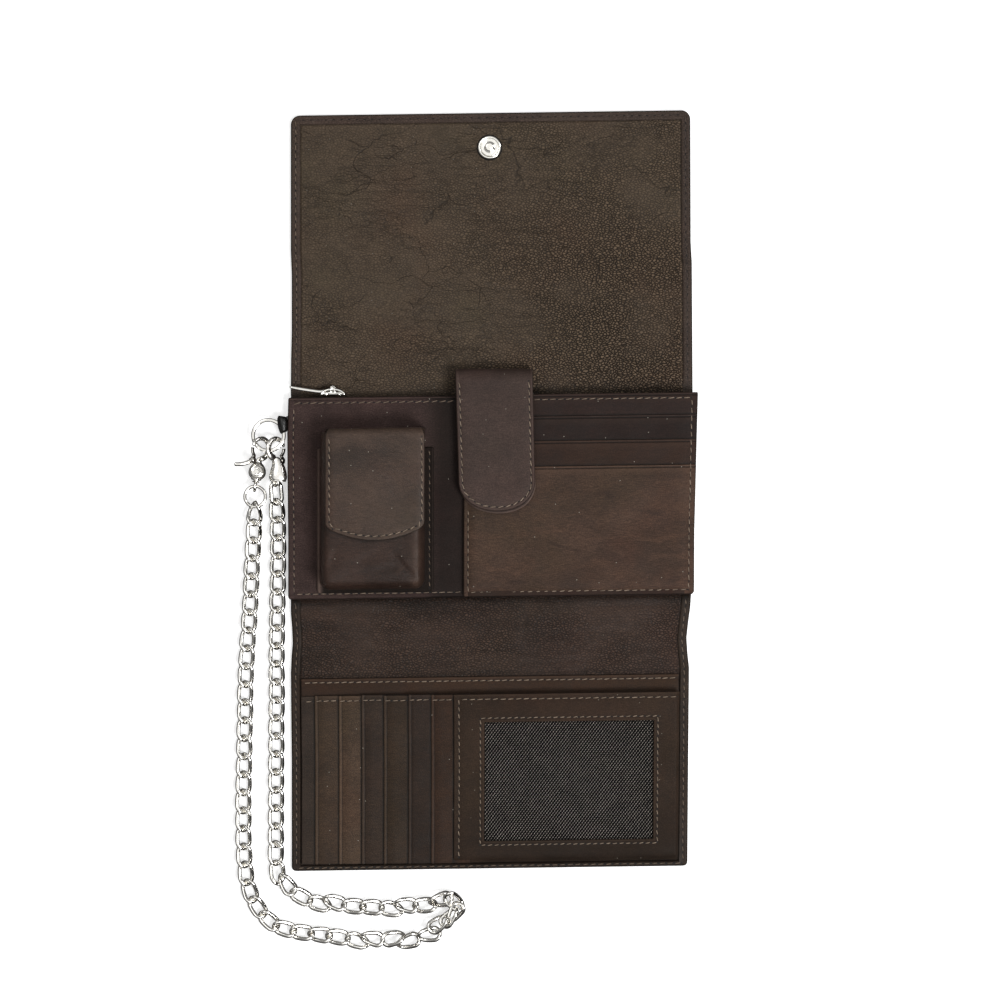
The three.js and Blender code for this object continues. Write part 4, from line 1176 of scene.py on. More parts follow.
def front_under(x, y):
    d = nearest(x - BLOCK_LEFT, BLOCK_RIGHT - x, y - BLOCK_BOTTOM)
    z = 5.2 - (5.2 - 3.75) * ease(2.2, 1.2, d)
    return z + (4.7 - z) * (1 - roll(inset(x, y, BLOCK), 0.9)) * 0.9


def block_edge(x, y):
    # burnished rim, and painted shade in the pressed line along the top
    e = 0.75 * bell(inset(x, y, BLOCK), 0.5) + 0.55 * bell(BLOCK_TOP - y - TOP_CREASE, 0.28)
    # shade the sewn-in pouch and the right-hand slots leave on this ply
    return np.clip(e + 0.80 * ease(-31, -20, x) * ease(10, -6, x), 0, 1)


def block_lite(x, y):
    # painted highlights along the rolled top and left rims
    return np.clip(0.30 * bell(BLOCK_TOP - y - 0.7, 0.3) + 0.12 * bell(x - BLOCK_LEFT - 0.7, 0.3),
                   0, 1)


def back_top(x, y):
    return 3.3 + 0.3 * roll(inset(x, y, BLOCK), 0.6)


def back_under(x, y):
    d = inset(x, y, (BLOCK_LEFT, BLOCK_RIGHT, BLOCK_BOTTOM, BLOCK_TOP + 9))
    z = 2.9 - 1.4 * ease(2.2, 1.0, d) * (y < 15)
    return z + (3.1 - z) * (1 - roll(inset(x, y, BLOCK), 0.5)) * 0.9


def make_block():
    shape = rounded(BLOCK, (1.5, 1.5, 0.8, 0.8))
    xs = grid_lines(BLOCK_LEFT, BLOCK_RIGHT, 2.2,
                    fine=((BLOCK_LEFT + SEAM_LEFT, (-1.2, -0.6, -0.3, 0, 0.3, 0.6, 1.2)),))
    ys = grid_lines(BLOCK_BOTTOM, BLOCK_TOP, 2.2, fine=(
        (BLOCK_TOP - TOP_CREASE, (-0.4, -0.2, 0, 0.2, 0.4)), (BLOCK_TOP - 2.6, (-0.6, 0, 0.6)),
        (BLOCK_BOTTOM + SEAM_BOTTOM, (-0.6, -0.3, 0, 0.3, 0.6))))
    obj = slab("compartment_front_ply", xs, ys, front_top, front_under, MAT["panel"], warp_block,
               shape, edge=block_edge, lite=block_lite)
    attach(obj, "middle", slot="panel_leather", replaces=("compartment_front",))
    obj = slab("compartment_back_ply", grid_lines(BLOCK_LEFT, BLOCK_RIGHT, 5),
               grid_lines(BLOCK_BOTTOM, BLOCK_TOP, 5), back_top, back_under, MAT["panel"],
               warp_block, shape, edge=block_edge)
    attach(obj, "middle", slot="panel_leather", replaces=("compartment_back",))
    left, bottom = BLOCK_LEFT + SEAM_LEFT, BLOCK_BOTTOM + SEAM_BOTTOM
    sew_rows((
        ("block_left_stitch", [(left, BLOCK_TOP - 4.4), (left, BLOCK_BOTTOM + 2.6)], front_top,
         "thread", 3.23, 1.75, 0.19, 0.12, 11),
        ("block_bottom_stitch", [(BLOCK_LEFT + 3.4, bottom), (-11.8, bottom)], front_top,
         "thread", 3.4, 2.4, 0.19, 0.08, 12),
        ("block_top_stitch", [(BLOCK_LEFT + 2.2, BLOCK_TOP - 2.5), (-15.6, BLOCK_TOP - 2.5)],
         front_top, "thread_mid", 3.45, 2.9, 0.24, 0.26, 13),
    ), warp_block, body="middle", slot="panel_leather")


# ------------------------------------------------------------------ zip
SLIDER_X, PIN_Y = -67.8, 46.1
TOOTH_COUNT, TOOTH_PITCH, TOOTH_Y, TOOTH_Z = 112, 1.5, 41.45, 4.4
TOOTH_VERTS = np.array([
    (-.55, 0, -.42), (.55, 0, -.42), (.42, 1.35, -.30), (-.42, 1.35, -.30),
    (-.55, 0, .42), (.55, 0, .42), (.42, 1.35, .30), (-.42, 1.35, .30),
    (-.20, 1.62, -.14), (.20, 1.62, -.14), (.20, 1.62, .14), (-.20, 1.62, .14)])
TOOTH_FACES = [[0, 3, 2, 1], [4, 5, 6, 7], [0, 1, 5, 4], [1, 2, 6, 5], [3, 0, 4, 7],
               [3, 8, 9, 2], [7, 6, 10, 11], [2, 9, 10, 6], [3, 7, 11, 8], [8, 11, 10, 9]]


def make_zip():
    for side, z0, z1 in (("back", 3.65, 3.95), ("front", 4.85, 5.15)):
        obj = slab(f"zip_tape_{side}_strip", grid_lines(-84, 85, 4), grid_lines(33, 41.4, 0.9),
                   lambda x, y: z1 - 0.03 + 0.03 * np.sin(x / 0.9) * np.sin(y / 0.5), z0 + 0.02,
                   MAT["tape"], warp_block)
        attach(obj, "middle", slot="zip_tape", replaces=(f"zipper_tape_{side}",))
    teeth = []
    for i in range(TOOTH_COUNT):
        z = TOOTH_Z + (0.06 if i % 2 else -0.06)
        teeth.append((TOOTH_VERTS + np.array([-83 + i * TOOTH_PITCH, TOOTH_Y, z]), TOOTH_FACES))
    verts, faces = join(teeth)
    obj = build("zip_teeth_row", warp_block(verts), faces, MAT["satin"], verts, sharp=30)
    attach(obj, "middle", slot="chrome", replaces=("zipper_teeth",))


def slider_points(*points):
    """points given with x from the slider's middle"""
    return [(SLIDER_X + point[0], *point[1:]) for point in points]


def make_slider():
    angle = np.linspace(0, pi, 25)
    parts = []
    # arches: half width, base y, rise, z, radius across, radius up, sides
    for half, base, rise, z, width, height, sides in ((4.9, 43.2, 2.5, 5.45, 0.50, 0.42, 12),
                                                      (2.9, 43.1, 1.35, 5.2, 0.36, 0.34, 10)):
        arch = np.stack([SLIDER_X + half * np.cos(angle), base + rise * np.sin(angle),
                         np.full(25, z)], 1)
        parts.append(tube(arch, width, height, sides, ends=(3, 3)))
    parts.append(plate(slider_points(
        (-5, 43.55), (-4.2, 44.35), (-2.0, 44.6), (2.0, 44.6), (4.2, 44.35), (5, 43.55),
        (4.6, 43.5), (-4.6, 43.5)), 3.15, 5.0, bevel=0.15))
    for z in (3.35, 5.65):
        lug = spline(slider_points((-0.95, 44.2, z), (-0.75, 45.6, z), (0, 46.35, z),
                                   (0.75, 45.6, z), (0.95, 44.2, z)), 17)
        parts.append(tube(lug, 0.36, 0.25, 10, ends=(2, 2)))
    parts.append(pin(SLIDER_X, PIN_Y, 3.2, 5.8, count=9, radius=0.42, end=2))
    verts, faces = join(parts)
    obj = build("zip_slider_part", verts, faces, MAT["chrome"], sharp=35)
    attach(obj, "slider", slot="chrome", replaces=("zipper_slider",))


def make_puller():
    """eye on the pin, neck and a long flat bar"""
    eye = oval((SLIDER_X, PIN_Y, 4.5), (1.0, 0, 0), (0, 0.95, 0), 32)
    bar = spline(slider_points((-0.8, PIN_Y - 0.45, 4.5), (-2.6, 45.35, 4.5), (-5.2, 44.75, 4.5),
                               (-9.0, 45.15, 4.5), (-14.0, 45.9, 4.5), (-18.6, 46.75, 4.5)), 41)
    bar_width = ([0, 0.08, 0.3, 0.85, 0.97, 1], [0.34, 0.42, 0.72, 0.78, 0.62, 0.3])
    verts, faces = join([tube(eye, 0.30, 0.55, 10, closed=True),
                         tube(bar, bar_width, 0.55, ends=(2, 3))])
    obj = build("zip_puller_part", verts, faces, MAT["chrome"], sharp=0)
    attach(obj, "puller", slot="chrome", replaces=("zipper_puller",))


# ------------------------------------------------------------------ card slots and large pocket
SLOT_LEFT = -11.0
SLOT_BOTTOM = BLOCK_BOTTOM + 0.3
POCKET = 3                              # index of the large pocket, above the three slots
SLOT_MOUTHS = [43.3, 33.9, 23.3, 12.4]
SLOT_Z = [(6.3, 6.8), (6.9, 7.4), (7.5, 8.0), (8.1, 8.9)]
MOUTH_SEAM, RIGHT_SEAM, SIDE_SEAM = 1.15, 2.4, 1.9      # groove insets


def slot_insets(i, x, y):
    """distance from the top, right, left and bottom edges"""
    return SLOT_MOUTHS[i] - y, BLOCK_RIGHT - x, x - SLOT_LEFT, y - SLOT_BOTTOM


def slot_sag(i, right, left, bottom):
    """upper plies sink towards the ones under them near their sewn edges"""
    near = np.maximum(ease(5.0, 1.0, right), ease(4.5, 1.0, bottom) if i == POCKET else 0)
    near = np.maximum(near, ease(3.5, 1.0, left) * 0.6)
    return 0.75 * (SLOT_Z[i][0] - SLOT_Z[0][0]) * near * 0.8


def slot_top(i, x, y):
    z0, z1 = SLOT_Z[i]
    top, right, left, bottom = slot_insets(i, x, y)
    z = z1 + 0.07 * fbm(x / 18, y / 12, 90 + i, 3) * ease(0.5, 4, top)
    if i == POCKET:
        z = z + 0.22 * fbm(x / 24, y / 17, 99, 3) * ease(0.5, 8, top) * ease(1, 6, left)
    z = z - slot_sag(i, right, left, bottom)
    z = z - 0.24 * bell(top - MOUTH_SEAM, 0.26) - 0.15 * bell(right - RIGHT_SEAM, 0.5)
    if i == POCKET:
        z = z - 0.15 * bell(bottom - SIDE_SEAM, 0.5) - 0.15 * bell(left - SIDE_SEAM, 0.5)
    core = np.minimum(z - 0.42, z0 + 0.1)
    return core + (z - core) * roll(nearest(top, right, left, bottom), 0.45)


def slot_under(i, x, y):
    return SLOT_Z[i][0] - slot_sag(i, *slot_insets(i, x, y)[1:])


def slot_edge(i, x, y):
    top, right, left, bottom = slot_insets(i, x, y)
    # painted shade in the groove under the mouth; burnished rims on the other sides
    e = 0.85 * bell(top - MOUTH_SEAM, 0.22) + 0.5 * bell(right, 0.4)
    e = e + 0.6 * bell(bottom, 0.35) + 0.7 * bell(left, 0.25)
    if i < POCKET:
        # shadow line at the next mouth
        above = y - SLOT_MOUTHS[i + 1]
        e = e + 0.85 * ease(1.0, 0.0, above) * (above > -1)
    return np.clip(e + 0.30 * bell(right - 3.6, 0.3), 0, 1)


def slot_lite(i, x, y):
    top = SLOT_MOUTHS[i] - y
    # painted highlights on the folded mouth and on the rise below its groove
    pale_highlight = np.clip(0.62 * bell(top - 0.45, 0.22) + 0.34 * bell(top - 1.6, 0.18), 0, 1)
    return pale_highlight * ease(0, 2, BLOCK_RIGHT - x)


def slots_height(x, y):
    z = slot_top(0, x, y)
    for i in (1, 2, 3):
        z = np.where(y < SLOT_MOUTHS[i], slot_top(i, x, y), z)
    return z


def make_slots():
    xs = grid_lines(SLOT_LEFT, BLOCK_RIGHT, 2.4, fine=(
        (BLOCK_RIGHT - RIGHT_SEAM, SEAM_LINES), (SLOT_LEFT + SIDE_SEAM, SEAM_LINES)))
    for i, mouth in enumerate(SLOT_MOUTHS):
        fine = [(mouth - MOUTH_SEAM, (-0.5, -0.28, -0.14, 0, 0.14, 0.28, 0.5)),
                (mouth - 0.45, (-0.2, 0, 0.2))]
        if i < POCKET:
            fine.append((SLOT_MOUTHS[i + 1] + 0.5, (-0.5, -0.2, 0, 0.25, 0.5)))
            name, look = f"card_slot_sheet_{i + 1}", f"slot{i + 1}"
            slot, replaces = "panel_leather", (f"card_slot_{i + 1}",)
        else:
            fine.append((SLOT_BOTTOM + SIDE_SEAM, SEAM_LINES))
            name, look = "large_pocket_sheet", "pocket"
            slot, replaces = "pocket_leather", ("card_pocket_large",)
        shape = rounded((SLOT_LEFT, BLOCK_RIGHT, SLOT_BOTTOM, mouth), (0.6, 1.4, 0.5, 0.5))
        obj = slab(name, xs, grid_lines(SLOT_BOTTOM, mouth, 2.2, fine=fine),
                   partial(slot_top, i), partial(slot_under, i), MAT[look], warp_block, shape,
                   edge=partial(slot_edge, i), lite=partial(slot_lite, i))
        attach(obj, "middle", slot=slot, replaces=replaces)
    right, left = BLOCK_RIGHT - RIGHT_SEAM, SLOT_LEFT + SIDE_SEAM
    top, bottom = BLOCK_TOP - 2.3, BLOCK_BOTTOM + 2.2
    sew_rows((
        ("slot_right_stitch", [(right, 40.6), (right, bottom)], slots_height, "thread",
         3.43, 2.3, 0.19, 0.15, 21),
        ("slot_top_stitch", [(18.0, top), (BLOCK_RIGHT - 3.0, top)], partial(slot_top, 0),
         "thread", 3.45, 2.6, 0.2, 0.12, 22),
        ("pocket_left_stitch", [(left, -5.5), (left, BLOCK_BOTTOM + 2.0)], slots_height,
         "thread", 3.3, 2.1, 0.18, 0.12, 23),
        ("pocket_bottom_stitch", [(SLOT_LEFT + 2.6, bottom), (BLOCK_RIGHT - 3.0, bottom)],
         slots_height, "thread", 3.43, 2.5, 0.2, 0.1, 24),
    ), warp_block, body="middle", slot="panel_leather")


# ------------------------------------------------------------------ pouch flange and body
FLANGE = (-74.5, -24.4, -41.3, 20.6)
FLANGE_LEFT, FLANGE_RIGHT, FLANGE_BOTTOM, FLANGE_TOP = FLANGE
FLANGE_SEAM = 1.9
POUCH = (-72.6, -28.3, -39.9, 27.4)
POUCH_LEFT, POUCH_RIGHT, POUCH_BOTTOM, POUCH_TOP = POUCH
POUCH_BACK_Z, POUCH_FRONT_Z = 7.1, 21.4
POUCH_CAVITY_Z, POUCH_CAVITY_DEPTH = 7.6, 12.75
POUCH_ROLL = np.array([0, 0.015, 0.06, 0.16, 0.35, 0.65, 1.05, 1.6, 2.3, 3.2, 4.5])
# creases round the lower corners: middle x, y, turn (rad), length, width, depth
POUCH_FOLDS = (
    (-35.5, -31.0, -0.62, 6.5, 0.85, 0.85), (-38.5, -27.5, -0.70, 6.0, 0.9, 0.6),
    (-33.6, -34.5, -0.55, 4.6, 0.8, 0.7), (-46, -31.5, 0.10, 8.0, 1.3, 0.45),
    (-60, -33.5, -0.10, 8.0, 1.5, 0.35), (-67.5, -28, 1.15, 6.0, 1.2, 0.35),
    (-52, -26, 0.45, 8, 1.6, 0.25))
# the pouch's lid: box edges in plan and the height of its front
LID_LEFT, LID_RIGHT, LID_TOP, LID_Z = -70.4, -28.0, 28.9, 22.8
LID_THICKNESS, LID_BEND = 1.1, 3.2
LID_SEAM_LEFT, LID_SEAM_RIGHT = 1.9, 1.3


def flange_top(x, y):
    right = FLANGE_RIGHT - x
    z = 7.0 - 0.16 * bell(right - FLANGE_SEAM, 0.5) - 0.10 * bell(right - 3.3, 0.3)
    z = z + 0.55 * bell(x - FLANGE_LEFT - 0.9, 0.7)
    return 6.62 + (z - 6.62) * roll(inset(x, y, FLANGE), 0.5)


def flange_under(x, y):
    return 6.3 + 0.3 * (1 - roll(inset(x, y, FLANGE), 0.5))


def flange_edge(x, y):
    # burnished rim; right of the left fold the flange is darkened strongly, leaving the light base
    # colour on the fold as part of its painted highlight
    e = 0.5 * bell(inset(x, y, FLANGE), 0.25) + 0.90 * ease(1.7, 2.6, x - FLANGE_LEFT)
    return np.clip(e, 0, 1)


def flange_lite(x, y):
    # painted highlight along the raised left fold, lifting it out of the pouch body's shadow, and a
    # faint one along the right rim
    return np.clip(1.0 * bell(x - FLANGE_LEFT - 1.0, 0.7)
                   + 0.10 * bell(FLANGE_RIGHT - x - 0.5, 0.25), 0, 1)


def make_flange():
    xs = grid_lines(FLANGE_LEFT, FLANGE_RIGHT, 3, fine=(
        (FLANGE_RIGHT - 2.4, (-1.4, -0.9, -0.5, 0, 0.5)), (FLANGE_LEFT + 1.0, (-0.5, 0, 0.5, 1.0))))
    obj = slab("pouch_flange_sheet", xs, grid_lines(FLANGE_BOTTOM, FLANGE_TOP, 3), flange_top,
               flange_under, MAT["flange"], warp_pouch, rounded(FLANGE, (1.5, 1.5, 0.8, 0.8)),
               edge=flange_edge, lite=flange_lite)
    attach(obj, "middle", slot="pouch_leather", replaces=("pouch_flange",))
    x = FLANGE_RIGHT - FLANGE_SEAM
    sew("pouch_flange_stitch", [(x, FLANGE_TOP - 1.0), (x, FLANGE_BOTTOM + 1.6)], flange_top,
        MAT["thread_mid"], warp_pouch, pitch=3.2, length=2.0, radius=0.18, slant=0.2, seed=31,
        body="middle", slot="pouch_leather")


def pouch_front(x, y):
    left, right = np.maximum(x - POUCH_LEFT, 0), np.maximum(POUCH_RIGHT - x, 0)
    bottom = np.maximum(y - POUCH_BOTTOM, 0)
    sides = np.minimum(left, right)
    near = np.minimum(sides, bottom)
    swell = np.minimum(dome(left), dome(right)) * dome(bottom, 5.5, 2.6)
    z = POUCH_BACK_Z + 0.05 + (POUCH_FRONT_Z - POUCH_BACK_Z - 0.35) * swell
    z = z + 0.28 * ease(2.0, 9.0, near) * fbm(x / 13, y / 15, 61, 3)
    creases = folds(x, y, POUCH_FOLDS, wander=0.7 * fbm(x / 5, y / 5, 62, 2), reach=0.7,
                    lip=0.55, lip_shift=1.9, lip_width=1.0)
    z = z - creases * ease(0.4, 2.6, near)
    z = z - 0.5 * bell(y - POUCH_BOTTOM - 4.6, 1.5) * ease(1.5, 5, sides) * 0.45
    return np.minimum(z, POUCH_FRONT_Z + 0.12)


def pouch_shades(x, y, front_z):
    """edge and lite values of the four grids of the shell: painted shade and painted highlights"""
    # darker at the top rim, and painted shade where the rounded sides fall to the base
    e = np.clip(0.30 * bell(POUCH_TOP - y, 0.5) + 0.40 * bell(front_z - POUCH_BACK_Z, 2.6), 0, 1)
    # soft shade under the lid's lower edge
    across = np.clip((x - LID_LEFT) / (LID_RIGHT - LID_LEFT), 0, 1)
    under = np.clip(0.55 * bell(np.abs(y - (-13.2 - 5.9 * np.sin(pi * across))), 0.9), 0, 1)
    # both cavity grids darkened by 0.5: painted shade inside the pouch
    edge = np.concatenate([np.clip(e + under, 0, 1), e, e * 0 + 0.5, e * 0 + 0.5], axis=None)
    # painted highlights down the right side and on the creases at the lower right corner
    painted_highlight = 0.50 * bell(POUCH_RIGHT - x - 3.4, 1.9)
    painted_highlight = painted_highlight + 0.42 * bell(x + 33.2, 1.5) * bell(y + 36.6 + 0.6 * (x + 33.2), 1.0)
    painted_highlight = painted_highlight + 0.30 * bell(x + 38.0, 2.6) * bell(y + 31.2 - 0.72 * (x + 38.0), 0.7)
    painted_highlight = np.clip(painted_highlight, 0, 1)
    return edge, np.concatenate([painted_highlight, painted_highlight * 0, painted_highlight * 0, painted_highlight * 0], axis=None)


def make_pouch_body():
    """hollow shell with softly rounded sides, open at the top"""
    xs = merged(POUCH_LEFT + POUCH_ROLL, POUCH_RIGHT - POUCH_ROLL,
                np.linspace(POUCH_LEFT + 5.4, POUCH_RIGHT - 5.4, 34))
    ys = merged(POUCH_BOTTOM + POUCH_ROLL * 5.5 / 4.5,
                np.linspace(POUCH_BOTTOM + 6.5, POUCH_TOP - 0.6, 56),
                [POUCH_TOP - 0.35, POUCH_TOP - 0.15, POUCH_TOP])
    x, y = np.meshgrid(xs, ys, indexing="ij")
    nx, ny = x.shape
    count = nx * ny
    out_x, out_y = rounded(POUCH, (4.4, 4.4, 0, 0))(x, y)
    front_z = pouch_front(x, y) - 0.25 * (1 - roll(POUCH_TOP - y, 0.4))
    # cavity: the outline drawn in from the sides and the bottom
    middle, width, length = ((POUCH_LEFT + POUCH_RIGHT) / 2, POUCH_RIGHT - POUCH_LEFT,
                             POUCH_TOP - POUCH_BOTTOM)
    in_x = middle + (out_x - middle) * (width - 2.2) / width
    in_y = POUCH_TOP - (POUCH_TOP - out_y) * (length - 1.2) / length
    floor_z = POUCH_CAVITY_Z + 0.02
    share = POUCH_CAVITY_DEPTH / (POUCH_FRONT_Z - POUCH_BACK_Z)
    in_z = floor_z + (front_z - POUCH_BACK_Z) * share
    in_z = np.maximum(np.minimum(in_z, front_z - 0.55), floor_z)
    verts = np.concatenate([np.stack([a.ravel(), b.ravel(), c.ravel()], 1) for a, b, c in (
        (out_x, out_y, front_z), (out_x, out_y, np.full(x.shape, POUCH_BACK_Z)),
        (in_x, in_y, in_z + 0.01), (in_x, in_y, np.full(x.shape, POUCH_CAVITY_Z)))])
    outer = sheet_faces(nx, ny)
    cavity = [part + 2 * count for part in sheet_faces(nx, ny, flip=True)]
    del outer[3], cavity[3]             # no wall at the open top
    grid = np.arange(count).reshape(nx, ny)
    p, q = grid[:-1, -1], grid[1:, -1]
    left, right = grid[0, -1], grid[-1, -1]
    mouth = [np.stack([p, q, q + 2 * count, p + 2 * count], 1),
             np.stack([q + count, p + count, p + 3 * count, q + 3 * count], 1),
             np.array([[left, left + 2 * count, left + 3 * count, left + count],
                       [right, right + count, right + 3 * count, right + 2 * count]])]
    faces = np.concatenate(outer[:2] + cavity[:2] + outer[2:] + cavity[2:] + mouth)
    obj = build("pouch_body_shell", warp_pouch(verts), faces, MAT["pouch_body"], verts,
                *pouch_shades(x, y, front_z), sharp=55)
    attach(obj, "middle", slot="pouch_leather", replaces=("pouch_body",))


# ------------------------------------------------------------------ pouch lid
def lid_low(x):
    """y of the lid's bowed lower edge, with rounded corners"""
    u = np.clip((x - LID_LEFT) / (LID_RIGHT - LID_LEFT), 0, 1)
    t = np.clip(1 - np.minimum(x - LID_LEFT, LID_RIGHT - x) / 3.2, 0, 1)
    bow = -13.0 - 6.0 * np.sin(np.pi * u) ** 0.85
    return bow + 2.3 * (1 - np.sqrt(np.clip(1 - t * t, 0, 1)))


def lid_front_z(x, y, t, side, low, droop):
    """height of the lid's front; t runs from the bend to the lower edge"""
    bend_y = LID_TOP - LID_BEND
    z = LID_Z - droop + 0.10 * fbm(x / 15, y / 17, 71, 3) * np.minimum(1, side / 4)
    z = z - 0.35 * t ** 3
    # broad vertical pleats that catch the light
    z = z + (0.13 * np.cos((x + 50.2) / 5.2 + 0.35 * np.sin(y / 9)) * np.minimum(1, side / 6)
             * np.minimum(1, (bend_y - y) / 6 + 0.2))
    for distance in (x - LID_LEFT - LID_SEAM_LEFT, LID_RIGHT - x - LID_SEAM_RIGHT, y - low - 1.9):
        z = z - 0.16 * bell(distance, 0.5)
    return z


def make_lid():
    """one sheet from the sewn base, up the top end and down over the front"""
    seam = (-0.5, -0.25, 0, 0.25, 0.5)
    xs = grid_lines(LID_LEFT, LID_RIGHT, 1.25, fine=(
        (LID_LEFT + LID_SEAM_LEFT, seam), (LID_RIGHT - LID_SEAM_RIGHT, seam)))
    rise = np.linspace(7.1, LID_Z - LID_BEND, 10)
    angle = np.linspace(0, pi / 2, 10)[1:]
    t = merged(np.linspace(0, 1, 44)[1:-1] ** 0.96, [0.975, 0.985, 0.992, 0.997, 1.0])
    front_start = len(rise) + len(angle)
    x = xs[:, None]
    ones = np.ones_like(x)
    side = np.minimum(x - LID_LEFT, LID_RIGHT - x)
    droop = 1.15 * (1 - dome(side + 0.15, 5.0, 2.4))
    low = lid_low(x)
    bend_y = LID_TOP - LID_BEND
    front_y = bend_y + (low - bend_y) * t
    y = np.concatenate([ones * (rise * 0 + LID_TOP), ones * (bend_y + LID_BEND * np.cos(angle)),
                        front_y], 1)
    z = np.concatenate([ones * rise,
                        LID_Z - LID_BEND + LID_BEND * np.sin(angle) - droop * np.sin(angle),
                        lid_front_z(x, front_y, t, side, low, droop)], 1)
    normal_y = np.concatenate([rise * 0 + 1, np.cos(angle), t * 0])
    normal = np.stack([normal_y * 0, normal_y,
                       np.concatenate([rise * 0, np.sin(angle), t * 0 + 1])], 1)[None]
    length = np.cumsum(np.hypot(np.diff(y), np.diff(z)), axis=1)
    length = np.concatenate([0 * x, length], 1)
    d = np.minimum(side, length[:, -1:] - length)
    x = x + 0 * y
    rest = np.stack([x, LID_TOP + 14 - length, x * 0 + 22], 2)
    # the free top corners are rounded in plan
    corner = np.clip((y - (LID_TOP - 4.0)) / 4.0, 0, 1) * np.clip((z - 14) / 6, 0, 1)
    u = (x - (LID_LEFT + LID_RIGHT) / 2) / ((LID_RIGHT - LID_LEFT) / 2)
    outer = np.stack([x - np.sign(u) * 1.5 * corner ** 2 * np.abs(u) ** 5, y,
                      z - 0.9 * corner * np.abs(u) ** 8], 2)
    core = outer - normal * 0.55
    full = roll(d, 0.55)
    full[:, 0] = np.maximum(full[:, 0], 0.6)
    full = 0.25 + 0.75 * full[:, :, None]
    edge = np.clip(0.75 * bell(d, 0.4), 0, 1).ravel()
    right = LID_RIGHT - x
    # painted highlights along the rolled rim, over the right part and in a strong uneven line down
    # the right edge
    lite = 0.22 * bell(d - 0.85, 0.3) + 0.10 * bell(right - 4.5, 3.0)
    lite = lite + 0.55 * bell(right - 0.75, 0.35) * (0.55 + 0.45 * np.sin(rest[:, :, 1] / 4.7))
    lite = np.clip(lite, 0, 1).ravel()
    obj = shell("pouch_flap_sheet", core + (outer - core) * full,
                core + (outer - normal * LID_THICKNESS - core) * full, MAT["pouch_lid"],
                warp_pouch, rest, np.concatenate([edge, edge * 0 + 0.3]),
                np.concatenate([lite, lite * 0]), flip=True)
    attach(obj, "pouch_lid", slot="pouch_leather", replaces=("pouch_flap",))

    def front_height(x, y):
        """height of the front on the grid column nearest x"""
        column = outer[int(np.argmin(np.abs(xs - x[0, 0]))), front_start:]
        order = np.argsort(column[:, 1])
        return np.array([[np.interp(y[0, 0], column[order, 1], column[order, 2])]])

    left, right = LID_LEFT + LID_SEAM_LEFT, LID_RIGHT - LID_SEAM_RIGHT
    across = left + (right - left) * np.linspace(0, 1, 40)
    bow = list(zip(across, lid_low(across) + 1.95))
    path = [(left, 25.0), (left, bow[0][1] + 1.8)] + bow[1:-1]
    path += [(right, bow[-1][1] + 1.8), (right, 25.0)]
    sew("pouch_flap_stitch", path, front_height, MAT["thread"], warp_pouch, pitch=3.22,
        length=2.2, radius=0.22, slant=0.22, seed=33, lift=0.10, body="pouch_lid",
        slot="pouch_leather")


# ------------------------------------------------------------------ closure tab
TAB_SEAM, TAB_ROLL, TAB_PUFF = 1.75, 0.8, 0.22
TAB_JOINT = dict(blend=("middle", "tab_end", TAB_ROOT_Y, 40), slot="tab_leather")


def tab_end(x, margin=0.0):
    """y of the rounded lower end, or of a line a margin inside it"""
    u = np.clip((x - TAB_CENTRE) / (TAB_HALF - margin), -1, 1)
    curve = np.sqrt(np.clip(1 - np.abs(u) ** 2.15, 0, 1))
    return TAB_SHOULDER - (TAB_SHOULDER - TAB_TIP - margin) * curve


def tab_outline():
    x = TAB_CENTRE + TAB_HALF * np.sin(np.linspace(-1, 1, 241) * pi / 2)
    return np.concatenate([[(TAB_LEFT, 52.0)], np.stack([x, tab_end(x)], 1), [(TAB_RIGHT, 52.0)]])


TAB_OUTLINE = tab_outline()


def tab_inset(x, y):
    """distance to the outline; above y = 44 only the sides count"""
    points = np.stack([x.ravel(), y.ravel()], 1)[:, None]
    start = TAB_OUTLINE[:-1]
    span = (TAB_OUTLINE[1:] - start)[None]
    t = np.clip(((points - start) * span).sum(2) / ((span ** 2).sum(2) + 1e-12), 0, 1)
    d = np.sqrt(((start + span * t[..., None] - points) ** 2).sum(2)).min(1).reshape(x.shape)
    return np.where(y > 44, np.minimum(x - TAB_LEFT, TAB_RIGHT - x), d)


def tab_surface(d, x, y):
    z = TAB_TOP_Z + TAB_PUFF * ease(1.5, 6, d) + 0.10 * fbm(x / 14, y / 16, 81, 3) * ease(2, 6, d)
    return z - 0.17 * bell(d - TAB_SEAM, 0.5) - 0.10 * bell(y - 45.5, 2.2)


def tab_rolled(d, x, y):
    core = TAB_PLY_Z + 0.15
    return core + (tab_surface(d, x, y) - core) * roll(d, TAB_ROLL)


